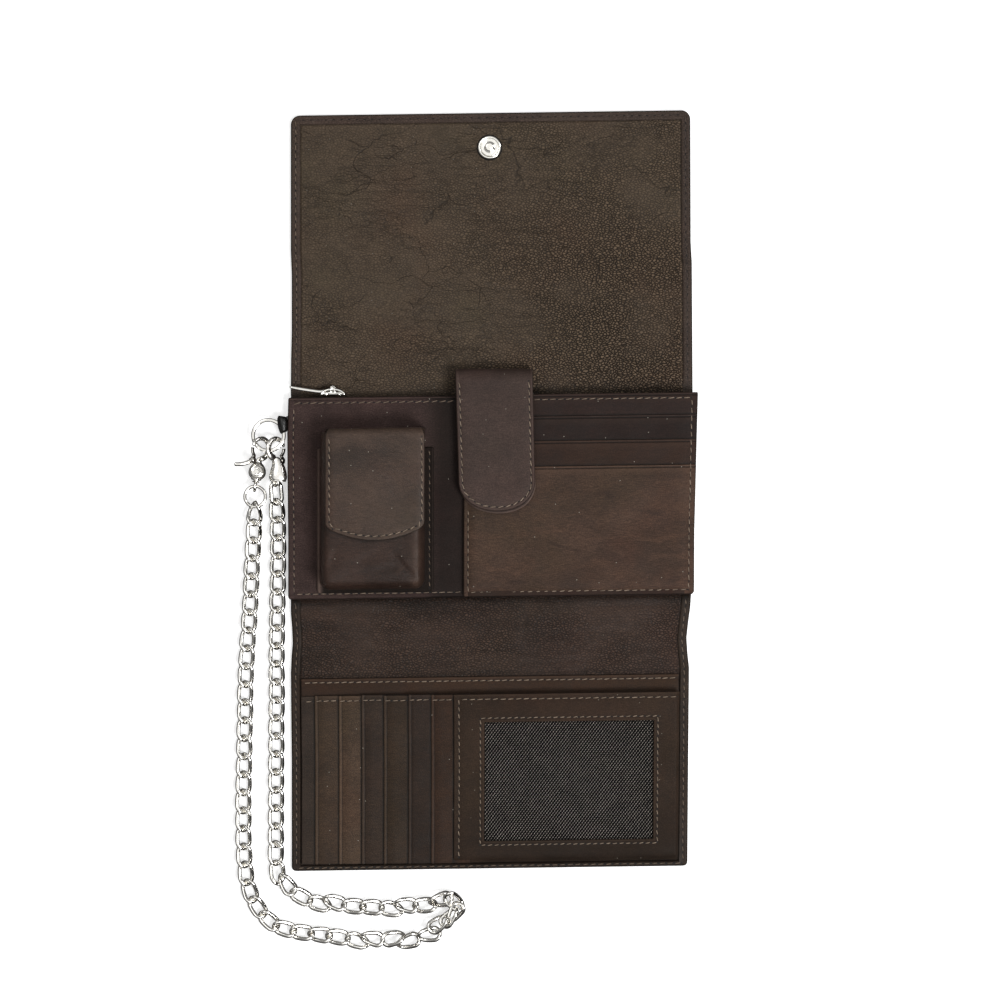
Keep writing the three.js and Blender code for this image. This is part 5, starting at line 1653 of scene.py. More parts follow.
def make_tab():
    near_edge = np.array([0.02, 0.07, 0.16, 0.30, 0.5, 0.8, 1.2, 1.75, 2.2])
    across = TAB_CENTRE + TAB_HALF * np.sin(np.linspace(-1, 1, 47) * pi / 2)
    xs = np.unique(np.round(np.concatenate([across, TAB_LEFT + near_edge,
                                            TAB_RIGHT - near_edge]), 3))
    xs = np.array(thin(xs[(xs >= TAB_LEFT) & (xs <= TAB_RIGHT)], 0.018))
    # share of the way from the rounded end to the root
    along = np.concatenate([[0, 0.0009, 0.003, 0.0065, 0.011, 0.017, 0.025, 0.032, 0.038],
                            np.linspace(0.05, 1, 46)])
    x = np.repeat(xs[:, None], len(along), 1)
    end = tab_end(xs)[:, None]
    y = end + (TAB_ROOT_Y - end) * along[None, :]
    rim = (along[None, :] == 0) | (x <= TAB_LEFT + 1e-6) | (x >= TAB_RIGHT - 1e-6)
    d = np.where(rim, 0, np.maximum(tab_inset(x, y), 0))

    def ply(name, x, y, top, under, edge, lite, replaces):
        obj = shell(name, np.stack([x, y, top], 2), np.stack([x, y, under], 2), MAT["tab"],
                    warp_tab, None, np.tile(np.clip(edge, 0, 1).ravel(), 2),
                    np.tile(np.clip(lite, 0, 1).ravel(), 2))
        attach(obj, replaces=(replaces,), **TAB_JOINT)

    # edge: burnished rim; lite: painted highlight along the rolled rim
    ply("tab_outer_leather", x, y, tab_rolled(d, x, y), np.full(x.shape, TAB_PLY_Z + 0.02),
        0.55 * bell(d, 0.35), 0.22 * bell(d - 0.6, 0.3), "tab_outer_ply")
    # the under ply peeks out a little at the rounded end
    full, core = roll(d, 0.5), TAB_UNDER_Z + 0.7
    top = np.minimum(core + (TAB_PLY_Z - 0.02 - core) * full, TAB_PLY_Z - 0.03)
    under = core - 0.2 + (TAB_UNDER_Z - core + 0.2) * full
    reach = ease(16, -4, y)
    lean = np.clip((x - TAB_LEFT) / (TAB_RIGHT - TAB_LEFT), 0, 1)
    # edge: painted shade on the under ply just inside its rim, under the outer ply's edge; lite:
    # painted highlight on its rim, stronger to the lower right
    ply("tab_inner_leather", x + 0.25 * reach, y - 1.3 * reach * (0.5 + 0.5 * lean), top, under,
        0.9 * bell(d - 1.3, 0.7), (0.55 + 0.45 * ease(0, 14, x) * ease(20, 4, y)) * bell(d, 0.6),
        "tab_inner_ply")

    across = TAB_CENTRE + (TAB_HALF - TAB_SEAM) * np.sin(np.linspace(-1, 1, 61) * pi / 2)
    path = [(TAB_LEFT + TAB_SEAM, TAB_ROOT_Y - 0.2)]
    path += list(zip(across, tab_end(across, TAB_SEAM)))
    path += [(TAB_RIGHT - TAB_SEAM, TAB_ROOT_Y - 0.2)]
    sew("tab_stitch", path, lambda x, y: tab_rolled(tab_inset(x, y), x, y), MAT["thread"],
        warp_tab, pitch=3.38, length=2.5, radius=0.22, slant=0.2, seed=41, lift=0.10, **TAB_JOINT)


def loop_profile(low, high):
    """(y, z) line from behind the block round its top edge to the tab's root"""
    angle = np.linspace(-pi / 2, pi / 2, 25)[1:]
    middle, radius = (high + low) / 2, (high - low) / 2
    straight = np.stack([np.linspace(18, TAB_ROOT_Y, 12), np.full(12, low)], 1)
    bend = np.stack([TAB_ROOT_Y + radius * np.cos(angle), middle + radius * np.sin(angle)], 1)
    return np.concatenate([straight, bend])


def make_tab_loop():
    """the tab's loop over the block's top edge, and its root behind the block"""
    outer, inner = loop_profile(1.4, TAB_TOP_Z), loop_profile(2.8, TAB_UNDER_Z)
    xs = grid_lines(TAB_LEFT, TAB_RIGHT, 2.0, fine=((TAB_LEFT + TAB_SEAM, SEAM_LINES),
                                                    (TAB_RIGHT - TAB_SEAM, SEAM_LINES)))
    count = len(outer)
    x = np.repeat(xs[:, None], count, 1)
    side = np.minimum(x - TAB_LEFT, TAB_RIGHT - x)
    full = roll(side, TAB_ROLL)[..., None]
    groove = 0.17 * bell(side - TAB_SEAM, 0.5)[..., None]
    puff = TAB_PUFF * ease(1.5, 6, side)[..., None]
    puff = puff * np.concatenate([np.zeros(12), np.linspace(0, 1, 24)])[None, :, None]
    core = (outer + inner) / 2
    normal = outer - inner
    normal /= np.linalg.norm(normal, axis=1)[:, None]
    front = core + (outer - core) * (0.12 + 0.88 * full) - normal * groove * full + normal * puff
    back = core + (inner - core) * (0.12 + 0.88 * full)
    length = np.concatenate([[0], np.cumsum(np.hypot(*np.diff(outer, axis=0).T))])
    rest = np.stack([x, x * 0 + (TAB_ROOT_Y + length[-1] - length), x * 0 + 11.0], 2)
    # edge: burnished rims; lite: painted highlights along the rolled rims
    obj = shell("tab_loop_leather", np.concatenate([x[..., None], front], 2),
                np.concatenate([x[..., None], back], 2), MAT["tab"], warp_tab, rest,
                np.tile((0.55 * bell(side, 0.35)).ravel(), 2),
                np.tile((0.22 * bell(side - 0.6, 0.3)).ravel(), 2), flip=True)
    attach(obj, "middle", slot="tab_leather", replaces=("tab_anchor",))


# ------------------------------------------------------------------ bottom panel pockets
POCKETS_LEFT, POCKETS_RIGHT, POCKETS_BOTTOM = -81.6, 81.4, -157.1
BILL_TOP, BILL_SEAM = -77.4, 1.8
STRIP_TOP = -84.9
ID_LEFT, ID_RIGHT = -15.7, 81.7
# left edges of the seven strips, then the ID panel's
STRIP_EDGES = [POCKETS_LEFT, -75.8, -65.4, -55.6, -46.0, -35.4, -25.5, ID_LEFT]
STRIP_RAISE = (0.0, 0.25, 0.1, 0.35, 0.05, 0.3, 0.15)   # how far each top edge stands higher
STRIP_SEAM = 2.3


def flat_top(level, seed, box, grooves, rim):
    """height function of a flat sheet with a rolled rim
    grooves: side (0 left, 1 right, 2 bottom, 3 top), inset, depth, width"""
    def height(x, y):
        d = inset(x, y, box)
        z = level + 0.05 * fbm(x / 15, y / 19, seed, 3) * ease(0.5, 3, d)
        sides = (x - box[0], box[1] - x, y - box[2], box[3] - y)
        for side, place, depth, width in grooves:
            z = z - depth * bell(sides[side] - place, width)
        core = level - 0.32
        return core + (z - core) * roll(d, rim)
    return height


def make_bill_pocket():
    box = (POCKETS_LEFT, POCKETS_RIGHT, POCKETS_BOTTOM, BILL_TOP)
    top = flat_top(2.2, 101, box, ((3, BILL_SEAM, 0.14, 0.45),), rim=0.4)
    seam_y = BILL_TOP - BILL_SEAM

    def edge(x, y):
        # burnished rim, and painted shade under the card strips' top edge
        return np.clip(0.75 * bell(inset(x, y, box), 0.25) + 0.55 * ease(-83.4, -84.8, y), 0, 1)

    def lite(x, y):
        # painted highlight along the rolled top rim
        return np.clip(0.45 * bell(BILL_TOP - y - 0.55, 0.28), 0, 1)

    obj = slab("bill_pocket_sheet", grid_lines(POCKETS_LEFT, POCKETS_RIGHT, 4),
               grid_lines(POCKETS_BOTTOM, BILL_TOP, 5, fine=((seam_y, SEAM_LINES),)), top, 1.42,
               MAT["bill"], warp_cover, rounded(box, (0.5, 0.5, 0.5, 0.5)), clear_of_socket(8.2),
               edge, lite)
    attach(obj, "bottom_panel", slot="strip_leather", replaces=("bill_divider",))
    sew("bill_pocket_stitch", [(POCKETS_LEFT + 1.2, seam_y), (POCKETS_RIGHT - 1.2, seam_y)], top,
        MAT["thread"], warp_cover, pitch=3.15, length=2.4, radius=0.22, slant=0.12, seed=51,
        body="bottom_panel", slot="strip_leather")


def make_strip(i):
    """one card strip; strip 0 is the wide base under the other six"""
    base = i == 0
    left, beyond = STRIP_EDGES[i], STRIP_EDGES[i + 1]
    top = STRIP_TOP + STRIP_RAISE[i]
    right = POCKETS_RIGHT if base else -8.5
    under_z, top_z = (2.3, 2.8) if base else (2.9 + 0.5 * (i - 1), 3.3 + 0.5 * (i - 1))
    box = (left, right, POCKETS_BOTTOM, top)
    grooves = [(3, STRIP_SEAM, 0.13, 0.4), (2, 1.2, 0.10, 0.4)]
    if not base:
        grooves.append((0, 1.45, 0.16, 0.30))
    flat = flat_top(top_z, 110 + i, box, grooves, rim=0.3)

    def height(x, y):
        # each visible strip is slightly domed between its own edge and the next
        rise = 0 if base else 0.10 * np.sin(np.pi * np.clip((x - left) / 10.4, 0, 1))
        return flat(x, y) + rise

    def edge(x, y):
        e = 0.5 * bell(top - y, 0.25) + 0.55 * bell(y - POCKETS_BOTTOM, 0.4)
        if not base:
            # burnished left rim, and painted shade in the groove beside it
            e = e + 0.85 * bell(x - left, 0.16) + 0.55 * bell(x - left - 1.55, 0.20)
        # painted shadow cast by the next strip's raised edge
        e = e + 0.88 * ease(beyond - 0.95, beyond - 0.15, x) * (x < beyond + 1)
        return np.clip(e, 0, 1)

    def lite(x, y):
        # painted highlights on the folded left edge and along the top rim
        side = 0 if base else 0.50 * bell(x - left - 0.75, 0.27)
        return np.clip(side + 0.32 * bell(top - y - 0.6, 0.25), 0, 1)

    fine = [(beyond - 0.3, (-0.9, -0.6, -0.3, 0, 0.3))]
    if not base:
        fine.append((left + 1.4, (-0.5, -0.2, 0, 0.2, 0.5)))
    obj = slab(f"card_strip_sheet_{i}", grid_lines(left, right, 3.0 if base else 2.6, fine=fine),
               grid_lines(POCKETS_BOTTOM, top, 3.0, fine=((top - STRIP_SEAM, (-0.4, 0, 0.4)),)),
               height, under_z, MAT[f"strip{i}"], warp_cover, rounded(box, (0.3, 0.3, 0.3, 0.6)),
               (lambda x, y: x < -6) if base else None, edge, lite)
    attach(obj, "bottom_panel", slot="strip_leather",
           replaces=("card_strip_base" if base else f"card_strip_{i}",))
    seam_y = top - STRIP_SEAM
    sew(f"card_strip_stitch_{i}", [(left + (1.4 if base else 0.3), seam_y), (beyond - 0.6, seam_y)],
        height, MAT["thread"], warp_cover, pitch=3.17, length=2.3, radius=0.19, slant=0.1,
        seed=60 + i, body="bottom_panel", slot="strip_leather")


# ------------------------------------------------------------------ ID panel and mesh window
WINDOW_LEFT, WINDOW_RIGHT, WINDOW_BOTTOM, WINDOW_TOP = -2.3, 70.4, -147.5, -97.0
ID_BOX = (ID_LEFT, ID_RIGHT, POCKETS_BOTTOM, STRIP_TOP + 0.2)
ID_TOP = ID_BOX[3]
WINDOW_SEAM, ID_SEAM = 1.9, 2.3
WINDOW_LINES = (-1.9, -1.2, -0.8, -0.5, -0.28, -0.13, -0.04, 0)
# a yarn lozenge: along and across (shares of half size), height
YARN_SHAPE = np.array([
    (-1, -.45, 0), (-1, .45, 0), (1, .45, 0), (1, -.45, 0),
    (-.55, -.9, .03), (-.55, .9, .03), (.55, .9, .03), (.55, -.9, .03),
    (-.5, -.5, .15), (-.5, .5, .15), (.5, .5, .15), (.5, -.5, .15)])
YARN_FACES = [[0, 1, 2, 3], [1, 0, 4, 5], [3, 2, 6, 7], [2, 1, 5, 6], [0, 3, 7, 4],
              [5, 4, 8, 9], [7, 6, 10, 11], [6, 5, 9, 10], [4, 7, 11, 8], [8, 11, 10, 9]]


def window_outset(x, y):
    """distance outside the window's rim"""
    out_x = np.maximum(np.maximum(WINDOW_LEFT - x, x - WINDOW_RIGHT), 0)
    out_y = np.maximum(np.maximum(WINDOW_BOTTOM - y, y - WINDOW_TOP), 0)
    return np.hypot(out_x, out_y)


def id_sink(x, y):
    """the panel is sewn down towards the hem on the right and at the bottom"""
    return 1.0 * ease(1.6, 0.2, ID_RIGHT - x) + 2.2 * ease(2.6, 0.3, y - POCKETS_BOTTOM) * 0.8


def id_top(x, y):
    window = window_outset(x, y)
    near = np.minimum(inset(x, y, ID_BOX), window)
    z = 6.7 + 0.07 * fbm(x / 17, y / 15, 131, 3) * ease(0.5, 3, near)
    z = z - 0.12 * bell(window - WINDOW_SEAM, 0.42)
    z = z - 0.14 * bell(ID_TOP - y - ID_SEAM, 0.42) - 0.14 * bell(x - ID_LEFT - ID_SEAM, 0.42)
    z = z - id_sink(x, y)
    core = np.maximum(z - 0.45, 2.4)
    return core + (z - core) * roll(near, 0.45)


def id_edge(x, y):
    rims = 0.8 * bell(inset(x, y, ID_BOX), 0.22) + 0.75 * bell(window_outset(x, y), 0.22)
    return np.clip(rims + 0.48 * ease(-120, -158, y) * ease(-40, 10, x), 0, 1)


def id_lite(x, y):
    # painted highlights round the window's rim, along the top and down the left side
    e = 0.30 * bell(window_outset(x, y) - 0.6, 0.22) + 0.32 * bell(ID_TOP - y - 0.55, 0.25)
    return np.clip(e + 0.18 * bell(x - ID_LEFT - 0.5, 0.2), 0, 1)


def outside_window(x, y):
    return ~((x > WINDOW_LEFT) & (x < WINDOW_RIGHT) & (y > WINDOW_BOTTOM) & (y < WINDOW_TOP))


def make_id_panel():
    back_lines = tuple(-v for v in WINDOW_LINES)
    xs = grid_lines(ID_LEFT, ID_RIGHT, 2.4, fine=(
        (WINDOW_LEFT, WINDOW_LINES), (WINDOW_RIGHT, back_lines),
        (ID_LEFT + ID_SEAM, SEAM_LINES), (ID_RIGHT - 1.6, (-1, -0.5, 0, 0.5, 1))))
    ys = grid_lines(POCKETS_BOTTOM, ID_TOP, 2.4, fine=(
        (WINDOW_BOTTOM, WINDOW_LINES), (WINDOW_TOP, back_lines),
        (ID_TOP - ID_SEAM, SEAM_LINES), (POCKETS_BOTTOM + 1.4, (-0.7, 0, 0.7))))
    obj = slab("id_panel_frame", xs, ys, id_top, lambda x, y: 5.92 - id_sink(x, y), MAT["id"],
               warp_cover, rounded(ID_BOX, (0.4, 1.0, 0.6, 0.4)), outside_window, id_edge, id_lite)
    attach(obj, "bottom_panel", slot="strip_leather", replaces=("id_frame",))
    left, right = WINDOW_LEFT - WINDOW_SEAM, WINDOW_RIGHT + WINDOW_SEAM
    low, high = WINDOW_BOTTOM - WINDOW_SEAM, WINDOW_TOP + WINDOW_SEAM
    side_x, top_y = ID_LEFT + ID_SEAM, STRIP_TOP - 2.1
    sew_rows((
        ("id_window_stitch", [(left, low), (left, high), (right, high), (right, low), (left, low)],
         id_top, "thread", 2.85, 1.9, 0.19, 0.2, 71),
        ("id_left_stitch", [(side_x, STRIP_TOP - 1.8), (side_x, POCKETS_BOTTOM + 2.6)],
         id_top, "thread", 2.95, 2.0, 0.19, 0.18, 72),
        ("id_top_stitch", [(ID_LEFT + 3.0, top_y), (ID_RIGHT - 1.2, top_y)],
         id_top, "thread", 3.33, 2.4, 0.2, 0.12, 73),
    ), warp_cover, body="bottom_panel", slot="strip_leather")


def mesh_top(x, y):
    near = np.minimum(np.minimum(x - WINDOW_LEFT, WINDOW_RIGHT - x),
                      np.minimum(y - WINDOW_BOTTOM, WINDOW_TOP - y))
    return 5.66 + 0.10 * fbm(x / 22, y / 18, 141, 3) - 0.12 * ease(3, 20, near)


def make_mesh_window():
    tuck = 2.2                          # reaches this far under the frame
    obj = slab("id_window_mesh", plain_lines(WINDOW_LEFT - tuck, WINDOW_RIGHT + tuck, 2.0),
               plain_lines(WINDOW_BOTTOM - tuck, WINDOW_TOP + tuck, 2.0), mesh_top, 5.4,
               MAT["mesh"], warp_cover)
    attach(obj, "bottom_panel", slot="mesh_fabric", replaces=("id_mesh",))
    # raised yarn lozenges in the pale yarn material: painted glints along the black yarn
    yarns = []
    rng = np.random.RandomState(7)
    for row in range(int((WINDOW_BOTTOM - 0.4) / MESH_PITCH_Y),
                     int((WINDOW_TOP + 0.4) / MESH_PITCH_Y) + 1):
        for column in range(int((WINDOW_LEFT - 1) / MESH_PITCH_X),
                            int((WINDOW_RIGHT + 1) / MESH_PITCH_X) + 1):
            x = (column + 1.0 - 0.5 * (row % 2)) * MESH_PITCH_X
            y = (row + 0.5) * MESH_PITCH_Y
            if not (WINDOW_LEFT - 0.3 < x < WINDOW_RIGHT + 0.3
                    and WINDOW_BOTTOM - 0.3 < y < WINDOW_TOP + 0.3):
                continue
            z = float(mesh_top(np.array(x), np.array(y)))
            turn = radians(56) + rng.uniform(-0.02, 0.02)
            long, wide = 0.40 * rng.uniform(0.98, 1.02), 0.108 * rng.uniform(0.97, 1.03)
            along, across = YARN_SHAPE[:, 0] * long, YARN_SHAPE[:, 1] * wide
            yarns.append((np.stack([x + along * cos(turn) - across * sin(turn),
                                    y + along * sin(turn) + across * cos(turn),
                                    z + YARN_SHAPE[:, 2]], 1), YARN_FACES))
    verts, faces = join(yarns)
    obj = build("id_window_yarn_glints", warp_cover(verts), faces, MAT["yarn"], verts, sharp=0)
    attach(obj, "bottom_panel", slot="mesh_fabric")


# ------------------------------------------------------------------ leather loop and split ring
LOOP_CENTRE = np.array([-89.3, 30.8, HARDWARE_Z])
LOOP_TURN = radians(8)
# section of the wrapped band: radius, place along the wrap's axis
LOOP_SECTION = [
    (1.22, -3.55), (1.45, -3.7), (1.85, -3.3), (2.15, -2.6), (2.38, -1.7), (2.55, -0.6),
    (2.62, 0.6), (2.5, 1.7), (2.2, 2.6), (1.8, 3.2), (1.4, 3.5), (1.22, 3.35), (1.15, 1.5),
    (1.12, -1.5)]


def make_ring_loop():
    """band wrapped round the ring, with a tongue running onto the wallet"""
    steps = 40
    radial = np.array([cos(LOOP_TURN), sin(LOOP_TURN), 0])
    axis = np.array([-sin(LOOP_TURN), cos(LOOP_TURN), 0])
    up = np.array([0, 0, 1.0])
    verts = []
    for i in range(steps):
        a = 2 * pi * i / steps
        swell = 1 + 0.10 * max(0, cos(a - 0.6))
        for radius, along in LOOP_SECTION:
            verts.append(LOOP_CENTRE + (radial * cos(a) * 0.86 + up * sin(a)) * radius * swell
                         + axis * along * (1 - 0.10 * cos(a)))
    verts = np.array(verts)
    band = verts, outward(verts, ring_faces(steps, len(LOOP_SECTION), closed=True))
    line = spline([(-88.6, 31.0, 2.75), (-87.6, 31.4, 2.2), (-86.4, 31.8, 2.1),
                   (-84.5, 32.2, 2.12), (-80.2, 32.4, 2.12)], 30)
    tongue = tube(line, ([0, 0.25, 1], [2.0, 2.6, 2.95]), 0.60, 16, ends=(0, 2))
    verts, faces = join([band, tongue])
    obj = build("ring_loop_leather", verts, faces, MAT["black"], sharp=0)
    attach(obj, "middle", slot="loop_black", replaces=("chain_anchor_loop",))


def make_key_ring():
    """split ring: two flat turns"""
    turns = np.linspace(0, 2, 150)
    angle = turns * 2 * pi + radians(200)
    lift = np.where(turns < 0.9, -0.42,
                    np.where(turns > 1.1, 0.42, -0.42 + 0.84 * (turns - 0.9) / 0.2))
    path = np.stack([RING_CENTRE[0] + RING_RADIUS * np.cos(angle),
                     RING_CENTRE[1] + RING_RADIUS * np.sin(angle), HARDWARE_Z + lift], 1)
    verts, faces = tube(path, 0.80, 0.44, 16, ends=(3, 3))
    obj = build("key_ring", verts, faces, MAT["chrome"], sharp=0)
    attach(obj, "ring", slot="chrome", replaces=("chain_ring",))


# ------------------------------------------------------------------ clasps
def ring_at(degrees):
    angle = radians(degrees)
    return np.array([RING_CENTRE[0] + RING_RADIUS * cos(angle),
                     RING_CENTRE[1] + RING_RADIUS * sin(angle), HARDWARE_Z])


def clasp_frame(origin, direction, tilt):
    """origin and axes: local y runs along direction, the frame is rolled about it by tilt"""
    axis_y = np.array([direction[0], direction[1], 0.0])
    axis_y /= np.linalg.norm(axis_y)
    flat = np.array([axis_y[1], -axis_y[0], 0.0])
    axis_x = flat * cos(tilt) + np.array([0, 0, sin(tilt)])
    return origin, np.array([axis_x, axis_y, np.cross(axis_x, axis_y)])


def placed(local_frame, verts):
    origin, axes = local_frame
    return origin + np.asarray(verts, float) @ axes


FRAME_A = clasp_frame(ring_at(-120), (-0.149, -0.989), CLASP_TILT)
FLAT_A = clasp_frame(ring_at(-120), (-0.149, -0.989), 0)
FRAME_B = clasp_frame(ring_at(-60), (-0.02, -1.0), CLASP_TILT)
FLAT_B = clasp_frame(ring_at(-60), (-0.02, -1.0), 0)
HOOK_A, HOOK_B = 4.4, 4.2               # hook radii
EYE_A_Y = 16.3                          # local y of the swivel's eye
# egg bodies, radius and local y
BODY_A = [(0.25, 3.75), (1.05, 4.1), (1.25, 5.0), (1.6, 6.0), (2.7, 7.0), (3.75, 8.4),
          (4.15, 9.9), (4.05, 11.2), (3.35, 12.4), (2.3, 13.1), (1.8, 13.3), (1.5, 13.4),
          (1.35, 13.45)]
COLLAR_A = [(1.3, 12.6), (2.15, 12.8), (2.3, 13.1), (2.2, 13.5), (1.7, 13.75), (1.0, 13.8)]
BODY_B = [(0.35, 3.4), (1.5, 3.9), (2.0, 5.0), (2.55, 6.8), (3.2, 8.8), (3.65, 10.6),
          (3.85, 12.0), (3.65, 13.2), (2.9, 13.9), (1.2, 14.1)]
POST_A = [(0.5, 11.6), (0.8, 11.9), (0.82, 13.5), (0.9, 13.95), (1.35, 14.05), (1.6, 14.35),
          (1.35, 14.65), (0.6, 14.75)]


def hook(radius, side, width, height):
    """open hook bending to local x * side"""
    angle = np.radians(np.linspace(101, 357, 60))
    path = np.stack([radius * np.sin(angle) * side, radius * np.cos(angle), np.zeros(60)], 1)
    return tube(path, width, height, 14, ends=(4, 4))


def hinge(x, y, outline):
    """cheek plate under the trigger and the pin through it"""
    return [plate(outline, -1.75, -0.95, bevel=0.15),
            pin(x, y, -1.75, 1.15, count=7, radius=0.5, end=1)]


def eye(y, radius, wire):
    """upright ring across the local y axis"""
    return tube(oval((0, y, 0), (0, radius, 0), (0, 0, radius), 32), wire, closed=True,
                up=(1, 0, 0))


def trigger(hook_radius, side, pivot_x, pivot_y, lever):
    """curved bar closing the hook, its pivot discs and the lever"""
    angles = np.radians(np.linspace(36, 91, 9))
    bar = [((hook_radius + offset) * sin(a) * side, (hook_radius + offset) * cos(a))
           for offset, order in ((-0.62, angles[::-1]), (0.62, angles)) for a in order]
    foot = [(2.3 * side, 3.5), (4.0 * side, 3.4), (4.4 * side, 5.2), (2.4 * side, 5.2)]
    return join([plate(bar, -0.55, 0.55, bevel=0.22), disc(pivot_x, pivot_y, 1.45, -0.6, 0.6),
                 disc(pivot_x, pivot_y, 0.75, -1.0, 0.95, 16, 0.15),
                 plate(foot, -0.55, 0.55, bevel=0.15), lever])


def make_clasp_a():
    """round swivel body with a screw head, hook and thumb trigger"""
    tilted = [hook(HOOK_A, 1, ([0, 0.35, 0.8, 1], [0.66, 1.0, 1.15, 1.3]),
                   ([0, 0.35, 1], [0.66, 0.84, 0.9])),
              turned_y(spline(BODY_A, 44), 32, flatten=0.70), turned_y(COLLAR_A, 24)]
    tilted += hinge(3.3, 5.3, [(0.6, 4.6), (3.5, 4.35), (4.2, 5.0), (3.9, 6.1), (1.0, 6.3)])
    head_y = 10.0
    head = [disc(0.0, head_y, 3.05, 2.25, 3.05, 40, 0.45),
            disc(0.0, head_y, 1.15, 3.0, 3.55, 28, 0.2)]
    for radius, wire in ((2.35, 0.26), (1.6, 0.22)):
        bead = oval((0, head_y, 3.08), (radius, 0, 0), (0, radius, 0), 40)
        head.append(tube(bead, wire, sides=8, closed=True))
    head.append(disc(0.0, head_y, 2.6, -3.0, -2.3, 32, 0.3))
    verts, faces = join(tilted)
    head_verts, head_faces = join(head)
    verts, faces = join([(placed(FRAME_A, verts), faces), (placed(FLAT_A, head_verts), head_faces)])
    obj = build("swivel_clasp_body", verts, faces, MAT["chrome"], verts + (0, 0, 50), sharp=40)
    attach(obj, "clasp_a", slot="chrome", replaces=("clasp_a_body",))

    # the lever's bends are set in world axes from its root
    root = placed(FRAME_A, [[3.5, 5.4, 0.0]])
    bends = root + np.array([(0, 0, 0), (-1.7, -0.9, 0.75), (-3.9, -1.55, 1.25),
                             (-6.0, -1.75, 1.6), (-7.7, -1.75, 1.75)])
    origin, axes = FRAME_A
    lever = tube(spline((bends - origin) @ axes.T, 24),
                 ([0, 0.3, 0.8, 1], [1.2, 0.92, 0.88, 0.95]), 0.66, 14, ends=(3, 3))
    verts, faces = trigger(HOOK_A, 1, 3.3, 5.3, lever)
    obj = build("swivel_clasp_trigger", placed(FRAME_A, verts), faces, MAT["chrome"],
                verts + (30, 0, 50), sharp=40)
    attach(obj, "trigger_a", slot="chrome", replaces=("clasp_a_trigger",))


def make_clasp_b():
    """longer drop-shaped body with a spring gate"""
    tilted = [hook(HOOK_B, -1, ([0, 0.3, 0.7, 1], [0.66, 1.08, 1.3, 1.6]),
                   ([0, 0.35, 1], [0.66, 0.88, 0.95])), eye(14.1, 1.75, 0.60)]
    tilted += hinge(-3.3, 5.1, [(-0.6, 4.6), (-3.5, 4.1), (-4.2, 4.9), (-3.9, 5.9), (-1.0, 6.3)])
    rim = tube(oval((0, 13.75, 0), (3.05, 0, 0), (0, 0, 1.85), 48), 0.42, sides=10, closed=True,
               up=(0, 1, 0))
    drop, drop_faces = join([turned_y(spline(BODY_B, 50), 36, flatten=0.62), rim])
    lean = np.array([1.1, 0, 0]) * ease(3.0, 8.0, drop[:, 1:2])
    verts, faces = join(tilted)
    verts, faces = join([(placed(FRAME_B, verts), faces), (placed(FLAT_B, drop) + lean, drop_faces)])
    obj = build("spring_clasp_body", verts, faces, MAT["satin"], verts + (0, 40, 50), sharp=40)
    attach(obj, "clasp_b", slot="chrome", replaces=("clasp_b_body",))
    lever = tube(spline([(-3.4, 5.2, 0), (-4.0, 5.9, 0), (-4.4, 6.3, 0)], 10), 0.7, 0.6,
                 ends=(2, 2))
    verts, faces = trigger(HOOK_B, -1, -3.3, 5.1, lever)
    obj = build("spring_clasp_gate", placed(FRAME_B, verts), faces, MAT["chrome"],
                verts + (30, 40, 50), sharp=40)
    attach(obj, "gate_b", slot="chrome", replaces=("clasp_b_gate",))


def make_swivel():
    """swivel of clasp A: post in the bore, ball and eye; then the ring through the eye"""
    verts, faces = join([turned_y(POST_A, 20), eye(EYE_A_Y, 1.9, 0.62)])
    obj = build("swivel_eye", placed(FLAT_A, verts), faces, MAT["chrome"], verts + (0, 80, 50),
                sharp=45)
    attach(obj, "swivel_a", slot="chrome", replaces=("clasp_a_swivel",))
    x, y, _ = placed(FLAT_A, [[0, EYE_A_Y, 0]])[0]
    radius = 4.4
    path = oval((x, y - radius, HARDWARE_Z), (radius, 0, 0), (0, radius, 0), 64)
    verts, faces = tube(path, 0.68, 0.68, 14, closed=True)
    obj = build("chain_end_ring", verts, faces, MAT["chrome"], sharp=0)
    attach(obj, "link_ring", slot="chrome", replaces=("small_ring",))


# ------------------------------------------------------------------ curb chain
# points where the links meet, x, y, z, from the clasps downwards
LEFT_PIVOTS = [
    (-101.13, -3.68, 4.3), (-101.47, -11.37, 3.47), (-101.92, -19.03, 2.42),
    (-102.52, -26.73, 1.94), (-102.87, -34.46, 1.86), (-103.16, -42.19, 1.9),
    (-103.57, -49.92, 1.9), (-104.05, -57.65, 1.9), (-104.6, -65.37, 1.9), (-105.15, -73.09, 1.9),
    (-105.38, -80.83, 1.9), (-105.56, -88.56, 1.9), (-105.73, -96.3, 1.9), (-105.9, -104.04, 1.9),
    (-106.04, -111.78, 1.9), (-106.15, -119.52, 1.9), (-106.2, -127.26, 1.9),
    (-106.22, -135, 1.9), (-106.2, -142.74, 1.9), (-106.06, -150.48, 1.9),
    (-105.66, -158.21, 1.9), (-104.78, -165.9, 1.9), (-102.37, -173.25, 1.9),
    (-98.23, -179.79, 1.9), (-92.39, -184.88, 1.9), (-84.89, -186.79, 1.9),
    (-77.24, -187.97, 1.9), (-69.56, -188.92, 1.9), (-61.89, -189.97, 1.9),
    (-54.18, -190.62, 1.9), (-46.44, -190.81, 1.9), (-38.7, -190.65, 1.9), (-31.01, -189.83, 1.9),
    (-24.01, -186.52, 1.9), (-18.24, -181.36, 1.9), (-12.8, -175.86, 1.9)]
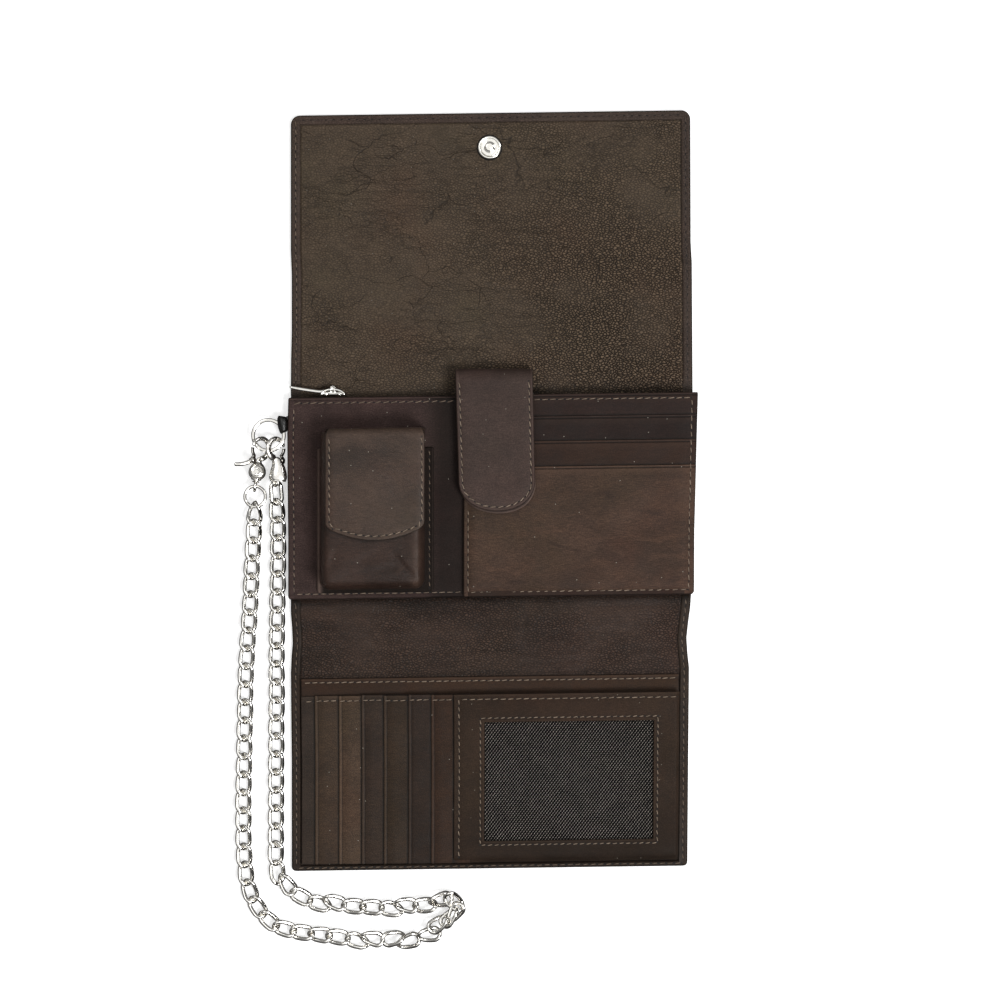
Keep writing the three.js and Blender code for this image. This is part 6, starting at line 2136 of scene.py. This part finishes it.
RIGHT_PIVOTS = [
    (-92.4, 5.17, 4.3), (-91.97, -2.5, 3.34), (-91.55, -10.17, 2.42), (-91.4, -17.9, 2.03),
    (-91.4, -25.64, 1.91), (-91.49, -33.38, 1.86), (-91.64, -41.12, 1.88), (-91.78, -48.86, 1.9),
    (-91.86, -56.6, 1.9), (-91.91, -64.34, 1.9), (-91.95, -72.08, 1.9), (-91.99, -79.82, 1.9),
    (-92.04, -87.55, 1.9), (-92.09, -95.29, 1.9), (-92.14, -103.03, 1.9), (-92.19, -110.77, 1.9),
    (-92.23, -118.51, 1.9), (-92.28, -126.25, 1.9), (-92.33, -133.99, 1.9), (-92.39, -141.73, 1.9),
    (-92.4, -149.47, 1.9), (-92.3, -157.21, 1.9), (-90.27, -164.68, 1.9), (-84.99, -170.34, 1.9),
    (-78.1, -173.87, 1.9), (-70.42, -174.83, 1.9), (-62.74, -175.77, 1.9), (-55.04, -176.59, 1.9),
    (-47.3, -176.8, 1.9), (-39.56, -176.62, 1.9), (-31.84, -176.09, 1.9)]
# links lying rolled against each other, by strand and number: sideways shift at start and
# end, lengthways shift at start and end, lift (mm), roll (deg)
KINKS = {
    ("right", 21): (0.2, -1.5, 0, 1.5, 0.0, 14), ("right", 22): (1.5, 0.0, -1.5, 0, 1.3, -14),
    ("right", 24): (0.2, -1.6, 0, 1.7, 0.0, 12), ("right", 25): (1.7, 0.2, -1.7, 0, 1.35, -16),
    ("right", 28): (0.1, -1.5, 0, 1.6, 0.0, 14), ("right", 29): (1.6, 0.0, -1.6, 0, 1.35, -14),
    ("left", 28): (0.2, -1.7, 0, 1.7, 0.0, 14), ("left", 29): (1.7, 0.2, -1.7, 0, 1.35, -16),
    ("left", 30): (0.0, 1.7, 0, 1.6, 1.2, 16), ("left", 31): (-1.9, 0.2, -1.6, 0, 0.0, -20),
    ("left", 32): (0.8, -1.6, 0, 1.9, 1.2, -20), ("left", 33): (1.7, 0.9, -2.0, 0.5, 2.3, 30),
    ("left", 34): (-1.4, 0.8, -1.5, 0.6, 1.0, -34)}
# links that carry the left loop round towards the other strand's end: start, end, twist from, to
CLOSING_LINKS = (
    ((-13.0, -176.4, 2.2), (-18.2, -172.0, 3.4), -60, 25),
    ((-17.6, -172.4, 3.2), (-25.4, -174.2, 3.0), -20, 62),
    ((-24.6, -175.4, 3.0), (-32.0, -175.9, 2.4), -48, 34),
    ((-20.2, -183.4, 4.2), (-15.2, -177.6, 4.4), 15, 75))
LINK_WIRE, LINK_LENGTH, LINK_WIDTH, LINK_STEPS, LINK_SIDES = 0.90, 9.50, 5.35, 56, 12
LINK_FACES = ring_faces(LINK_STEPS, LINK_SIDES, closed=True)
# strand, pivots, links in each piece, twist at the first link's start
STRANDS = (("left", LEFT_PIVOTS, (6, 6, 6, 6, 6, 5), -75),
           ("right", RIGHT_PIVOTS, (6, 6, 6, 6, 6), 42))


def flat_link():
    """x, y, z of an untwisted link: round wire along a racetrack"""
    straight, radius = (LINK_LENGTH - LINK_WIDTH) / 2, LINK_WIDTH / 2
    bend = pi * radius
    around = 4 * straight + 2 * bend
    points = []
    for i in range(LINK_STEPS):
        s = around * i / LINK_STEPS
        if s <= straight:
            place, out = (radius, s), (1, 0)
        elif s <= straight + bend:
            a = (s - straight) / radius
            place, out = (radius * cos(a), straight + radius * sin(a)), (cos(a), sin(a))
        elif s <= 3 * straight + bend:
            place, out = (-radius, straight - (s - straight - bend)), (-1, 0)
        elif s <= 3 * straight + 2 * bend:
            a = pi + (s - 3 * straight - bend) / radius
            place, out = (radius * cos(a), -straight + radius * sin(a)), (cos(a), sin(a))
        else:
            place, out = (radius, s - around), (1, 0)
        for j in range(LINK_SIDES):
            b = 2 * pi * j / LINK_SIDES
            reach = cos(b) * LINK_WIRE
            points.append((place[0] + out[0] * reach, place[1] + out[1] * reach,
                           sin(b) * LINK_WIRE))
    return np.array(points).T


FLAT_LINK = flat_link()


def link(start, end, twist_start, twist_end):
    """link centred between two points, twisted (deg) along its length"""
    start, end = np.array(start, float), np.array(end, float)
    axis_y = end - start
    axis_y /= np.linalg.norm(axis_y)
    axis_x = np.cross(axis_y, np.array((0, 0, 1.0)))
    axis_x /= np.linalg.norm(axis_x)
    axes = np.array([axis_x, axis_y, np.cross(axis_x, axis_y)])
    x, y, z = FLAT_LINK
    a = np.radians(twist_start + (twist_end - twist_start) * (y / LINK_LENGTH + 0.5))
    verts = np.stack([x * np.cos(a) - z * np.sin(a), y, x * np.sin(a) + z * np.cos(a)], 1)
    return (start + end) / 2 + verts @ axes, LINK_FACES


def shifted(start, end, side_start, side_end, long_start, long_end, lift):
    start, end = np.array(start, float), np.array(end, float)
    along = (end - start) / np.linalg.norm(end - start)
    across = np.array([-along[1], along[0], 0])
    return (start + across * side_start + along * long_start * 0.8 + (0, 0, lift),
            end + across * side_end + along * long_end * 0.8 + (0, 0, lift))


def make_chain():
    rng = np.random.RandomState(12)
    for side, pivots, sizes, first_twist in STRANDS:
        k = 0
        for piece, size in enumerate(sizes, 1):
            links = []
            for _ in range(size):
                side_start, side_end, long_start, long_end, lift, rolled = KINKS.get(
                    (side, k), (0, 0, 0, 0, 0, 0))
                twist = rng.uniform(-6, 6) + rolled
                start, end = shifted(pivots[k], pivots[k + 1],
                                     side_start + rng.uniform(-0.18, 0.18),
                                     side_end + rng.uniform(-0.18, 0.18),
                                     long_start, long_end, lift)
                links.append(link(start, end, -40 + twist if k else first_twist, 40 + twist))
                k += 1
            if side == "left" and piece == len(sizes):
                links += [link(*row) for row in CLOSING_LINKS]
            verts, faces = join(links)
            obj = build(f"chain_{side}_links_{piece}", verts, outward(verts, faces),
                        MAT["chrome"], sharp=0)
            attach(obj, f"strand_{side}_{piece}", slot="chrome",
                   replaces=(f"chain_{side}_{piece}",))


# ------------------------------------------------------------------ build the wallet
make_cover()
make_snap()
make_block()
make_zip()
make_slider()
make_puller()
make_slots()
make_flange()
make_pouch_body()
make_lid()
make_tab()
make_tab_loop()
make_bill_pocket()
for i in range(len(STRIP_COLOURS)):
    make_strip(i)
make_id_panel()
make_mesh_window()
make_ring_loop()
make_key_ring()
make_clasp_a()
make_clasp_b()
make_swivel()
make_chain()

# CAD nodes that stay, inside the wallet
for name in ("tab_magnet", "tab_keeper"):
    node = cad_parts[name]
    node.data.materials.clear()
    node.data.materials.append(MAT["steel"])


# ------------------------------------------------------------------ floor, world, lights, camera
def make_floor():
    """pale floor that reflects darker and glows a little towards the camera"""
    bpy.ops.mesh.primitive_plane_add(size=8, location=(0, 0, -0.0003))
    floor = bpy.context.object
    floor.name = "floor"
    s = Surface("floor_pale")
    ray = s.node("ShaderNodeLightPath").outputs
    floor.data.materials.append(s.finish({
        "Base Color": s.mix(ray["Is Glossy Ray"], (0.86, 0.86, 0.86, 1), (0.15, 0.145, 0.14, 1)),
        "Roughness": 0.9,
        "Specular IOR Level": 0.0,
        "Emission Color": (1, 1, 1, 1),
        "Emission Strength": s.times(ray["Is Camera Ray"], 0.55)}))


def make_world():
    """white to the camera; reflections see a bright overhead and a dark room low down that is
    darkest towards the lower right; everything else gets an even light"""
    world = bpy.data.worlds.new("studio")
    bpy.context.scene.world = world
    world.use_nodes = True
    w = Nodes(world.node_tree)
    ray = w.node("ShaderNodeLightPath").outputs
    coords = w.node("ShaderNodeTexCoord").outputs["Generated"]
    x, y, z = w.node("ShaderNodeSeparateXYZ", {0: coords}).outputs
    overhead = w.node("ShaderNodeValToRGB", {0: z})
    stops = overhead.color_ramp.elements
    stops[0].position, stops[0].color = 0.0, (0.30, 0.30, 0.30, 1)
    stops[1].position, stops[1].color = 1.0, (1.0, 1.0, 1.0, 1)
    # height of the direction, brightness
    for place, level in ((0.08, 0.05), (0.16, 0.01), (0.62, 0.01), (0.73, 0.42), (0.83, 0.97)):
        stops.new(place).color = (level, level, level * 0.98, 1)
    diagonal = w.times(w.math("SUBTRACT", y, x), 0.7071)
    upper_left = w.ramp(diagonal, over=(-0.35, 0.75), to=(0.0, 0.24))
    reflected = w.math("MAXIMUM", overhead.outputs[0], upper_left)
    glossy = ray["Is Glossy Ray"]
    even = w.times(w.math("SUBTRACT", 1.0, glossy), 0.36)
    strength = w.math("ADD", w.times(reflected, glossy), even)
    room = w.node("ShaderNodeBackground", {0: (1.0, 0.995, 0.985, 1), 1: strength})
    white = w.node("ShaderNodeBackground", {0: (1.0, 1.0, 1.0, 1), 1: 1.0})
    mixed = w.node("ShaderNodeMixShader", {
        0: ray["Is Camera Ray"], 1: room.outputs[0], 2: white.outputs[0]})
    w.node("ShaderNodeOutputWorld", {0: mixed.outputs[0]})


def area_light(name, location, size, energy):
    """disc light facing the origin; metres and watts"""
    light = bpy.data.lights.new(name, "AREA")
    light.shape = "DISK"
    light.size = size
    light.energy = energy
    obj = bpy.data.objects.new(name, light)
    bpy.context.scene.collection.objects.link(obj)
    obj.location = location
    obj.rotation_mode = "QUATERNION"
    obj.rotation_quaternion = Vector(location).to_track_quat("Z", "Y")


def make_camera():
    """long lens looking straight down"""
    data = bpy.data.cameras.new("camera")
    data.sensor_width = 36
    data.lens = 125.6
    data.clip_start, data.clip_end = 0.05, 20
    camera = bpy.data.objects.new("camera", data)
    bpy.context.scene.collection.objects.link(camera)
    camera.location = (0.00387, -0.00172, 1.5)
    bpy.context.scene.camera = camera


make_floor()
make_world()
area_light("key", (0.62, -0.55, 1.20), size=0.62, energy=15)
area_light("fill", (-0.7, 0.75, 1.3), size=0.9, energy=3)
area_light("rim", (0.9, 0.5, 0.7), size=0.4, energy=2.5)
make_camera()
bpy.context.scene.view_settings.view_transform = "Standard"
bpy.context.scene.view_settings.look = "None"

bpy.context.view_layer.update()
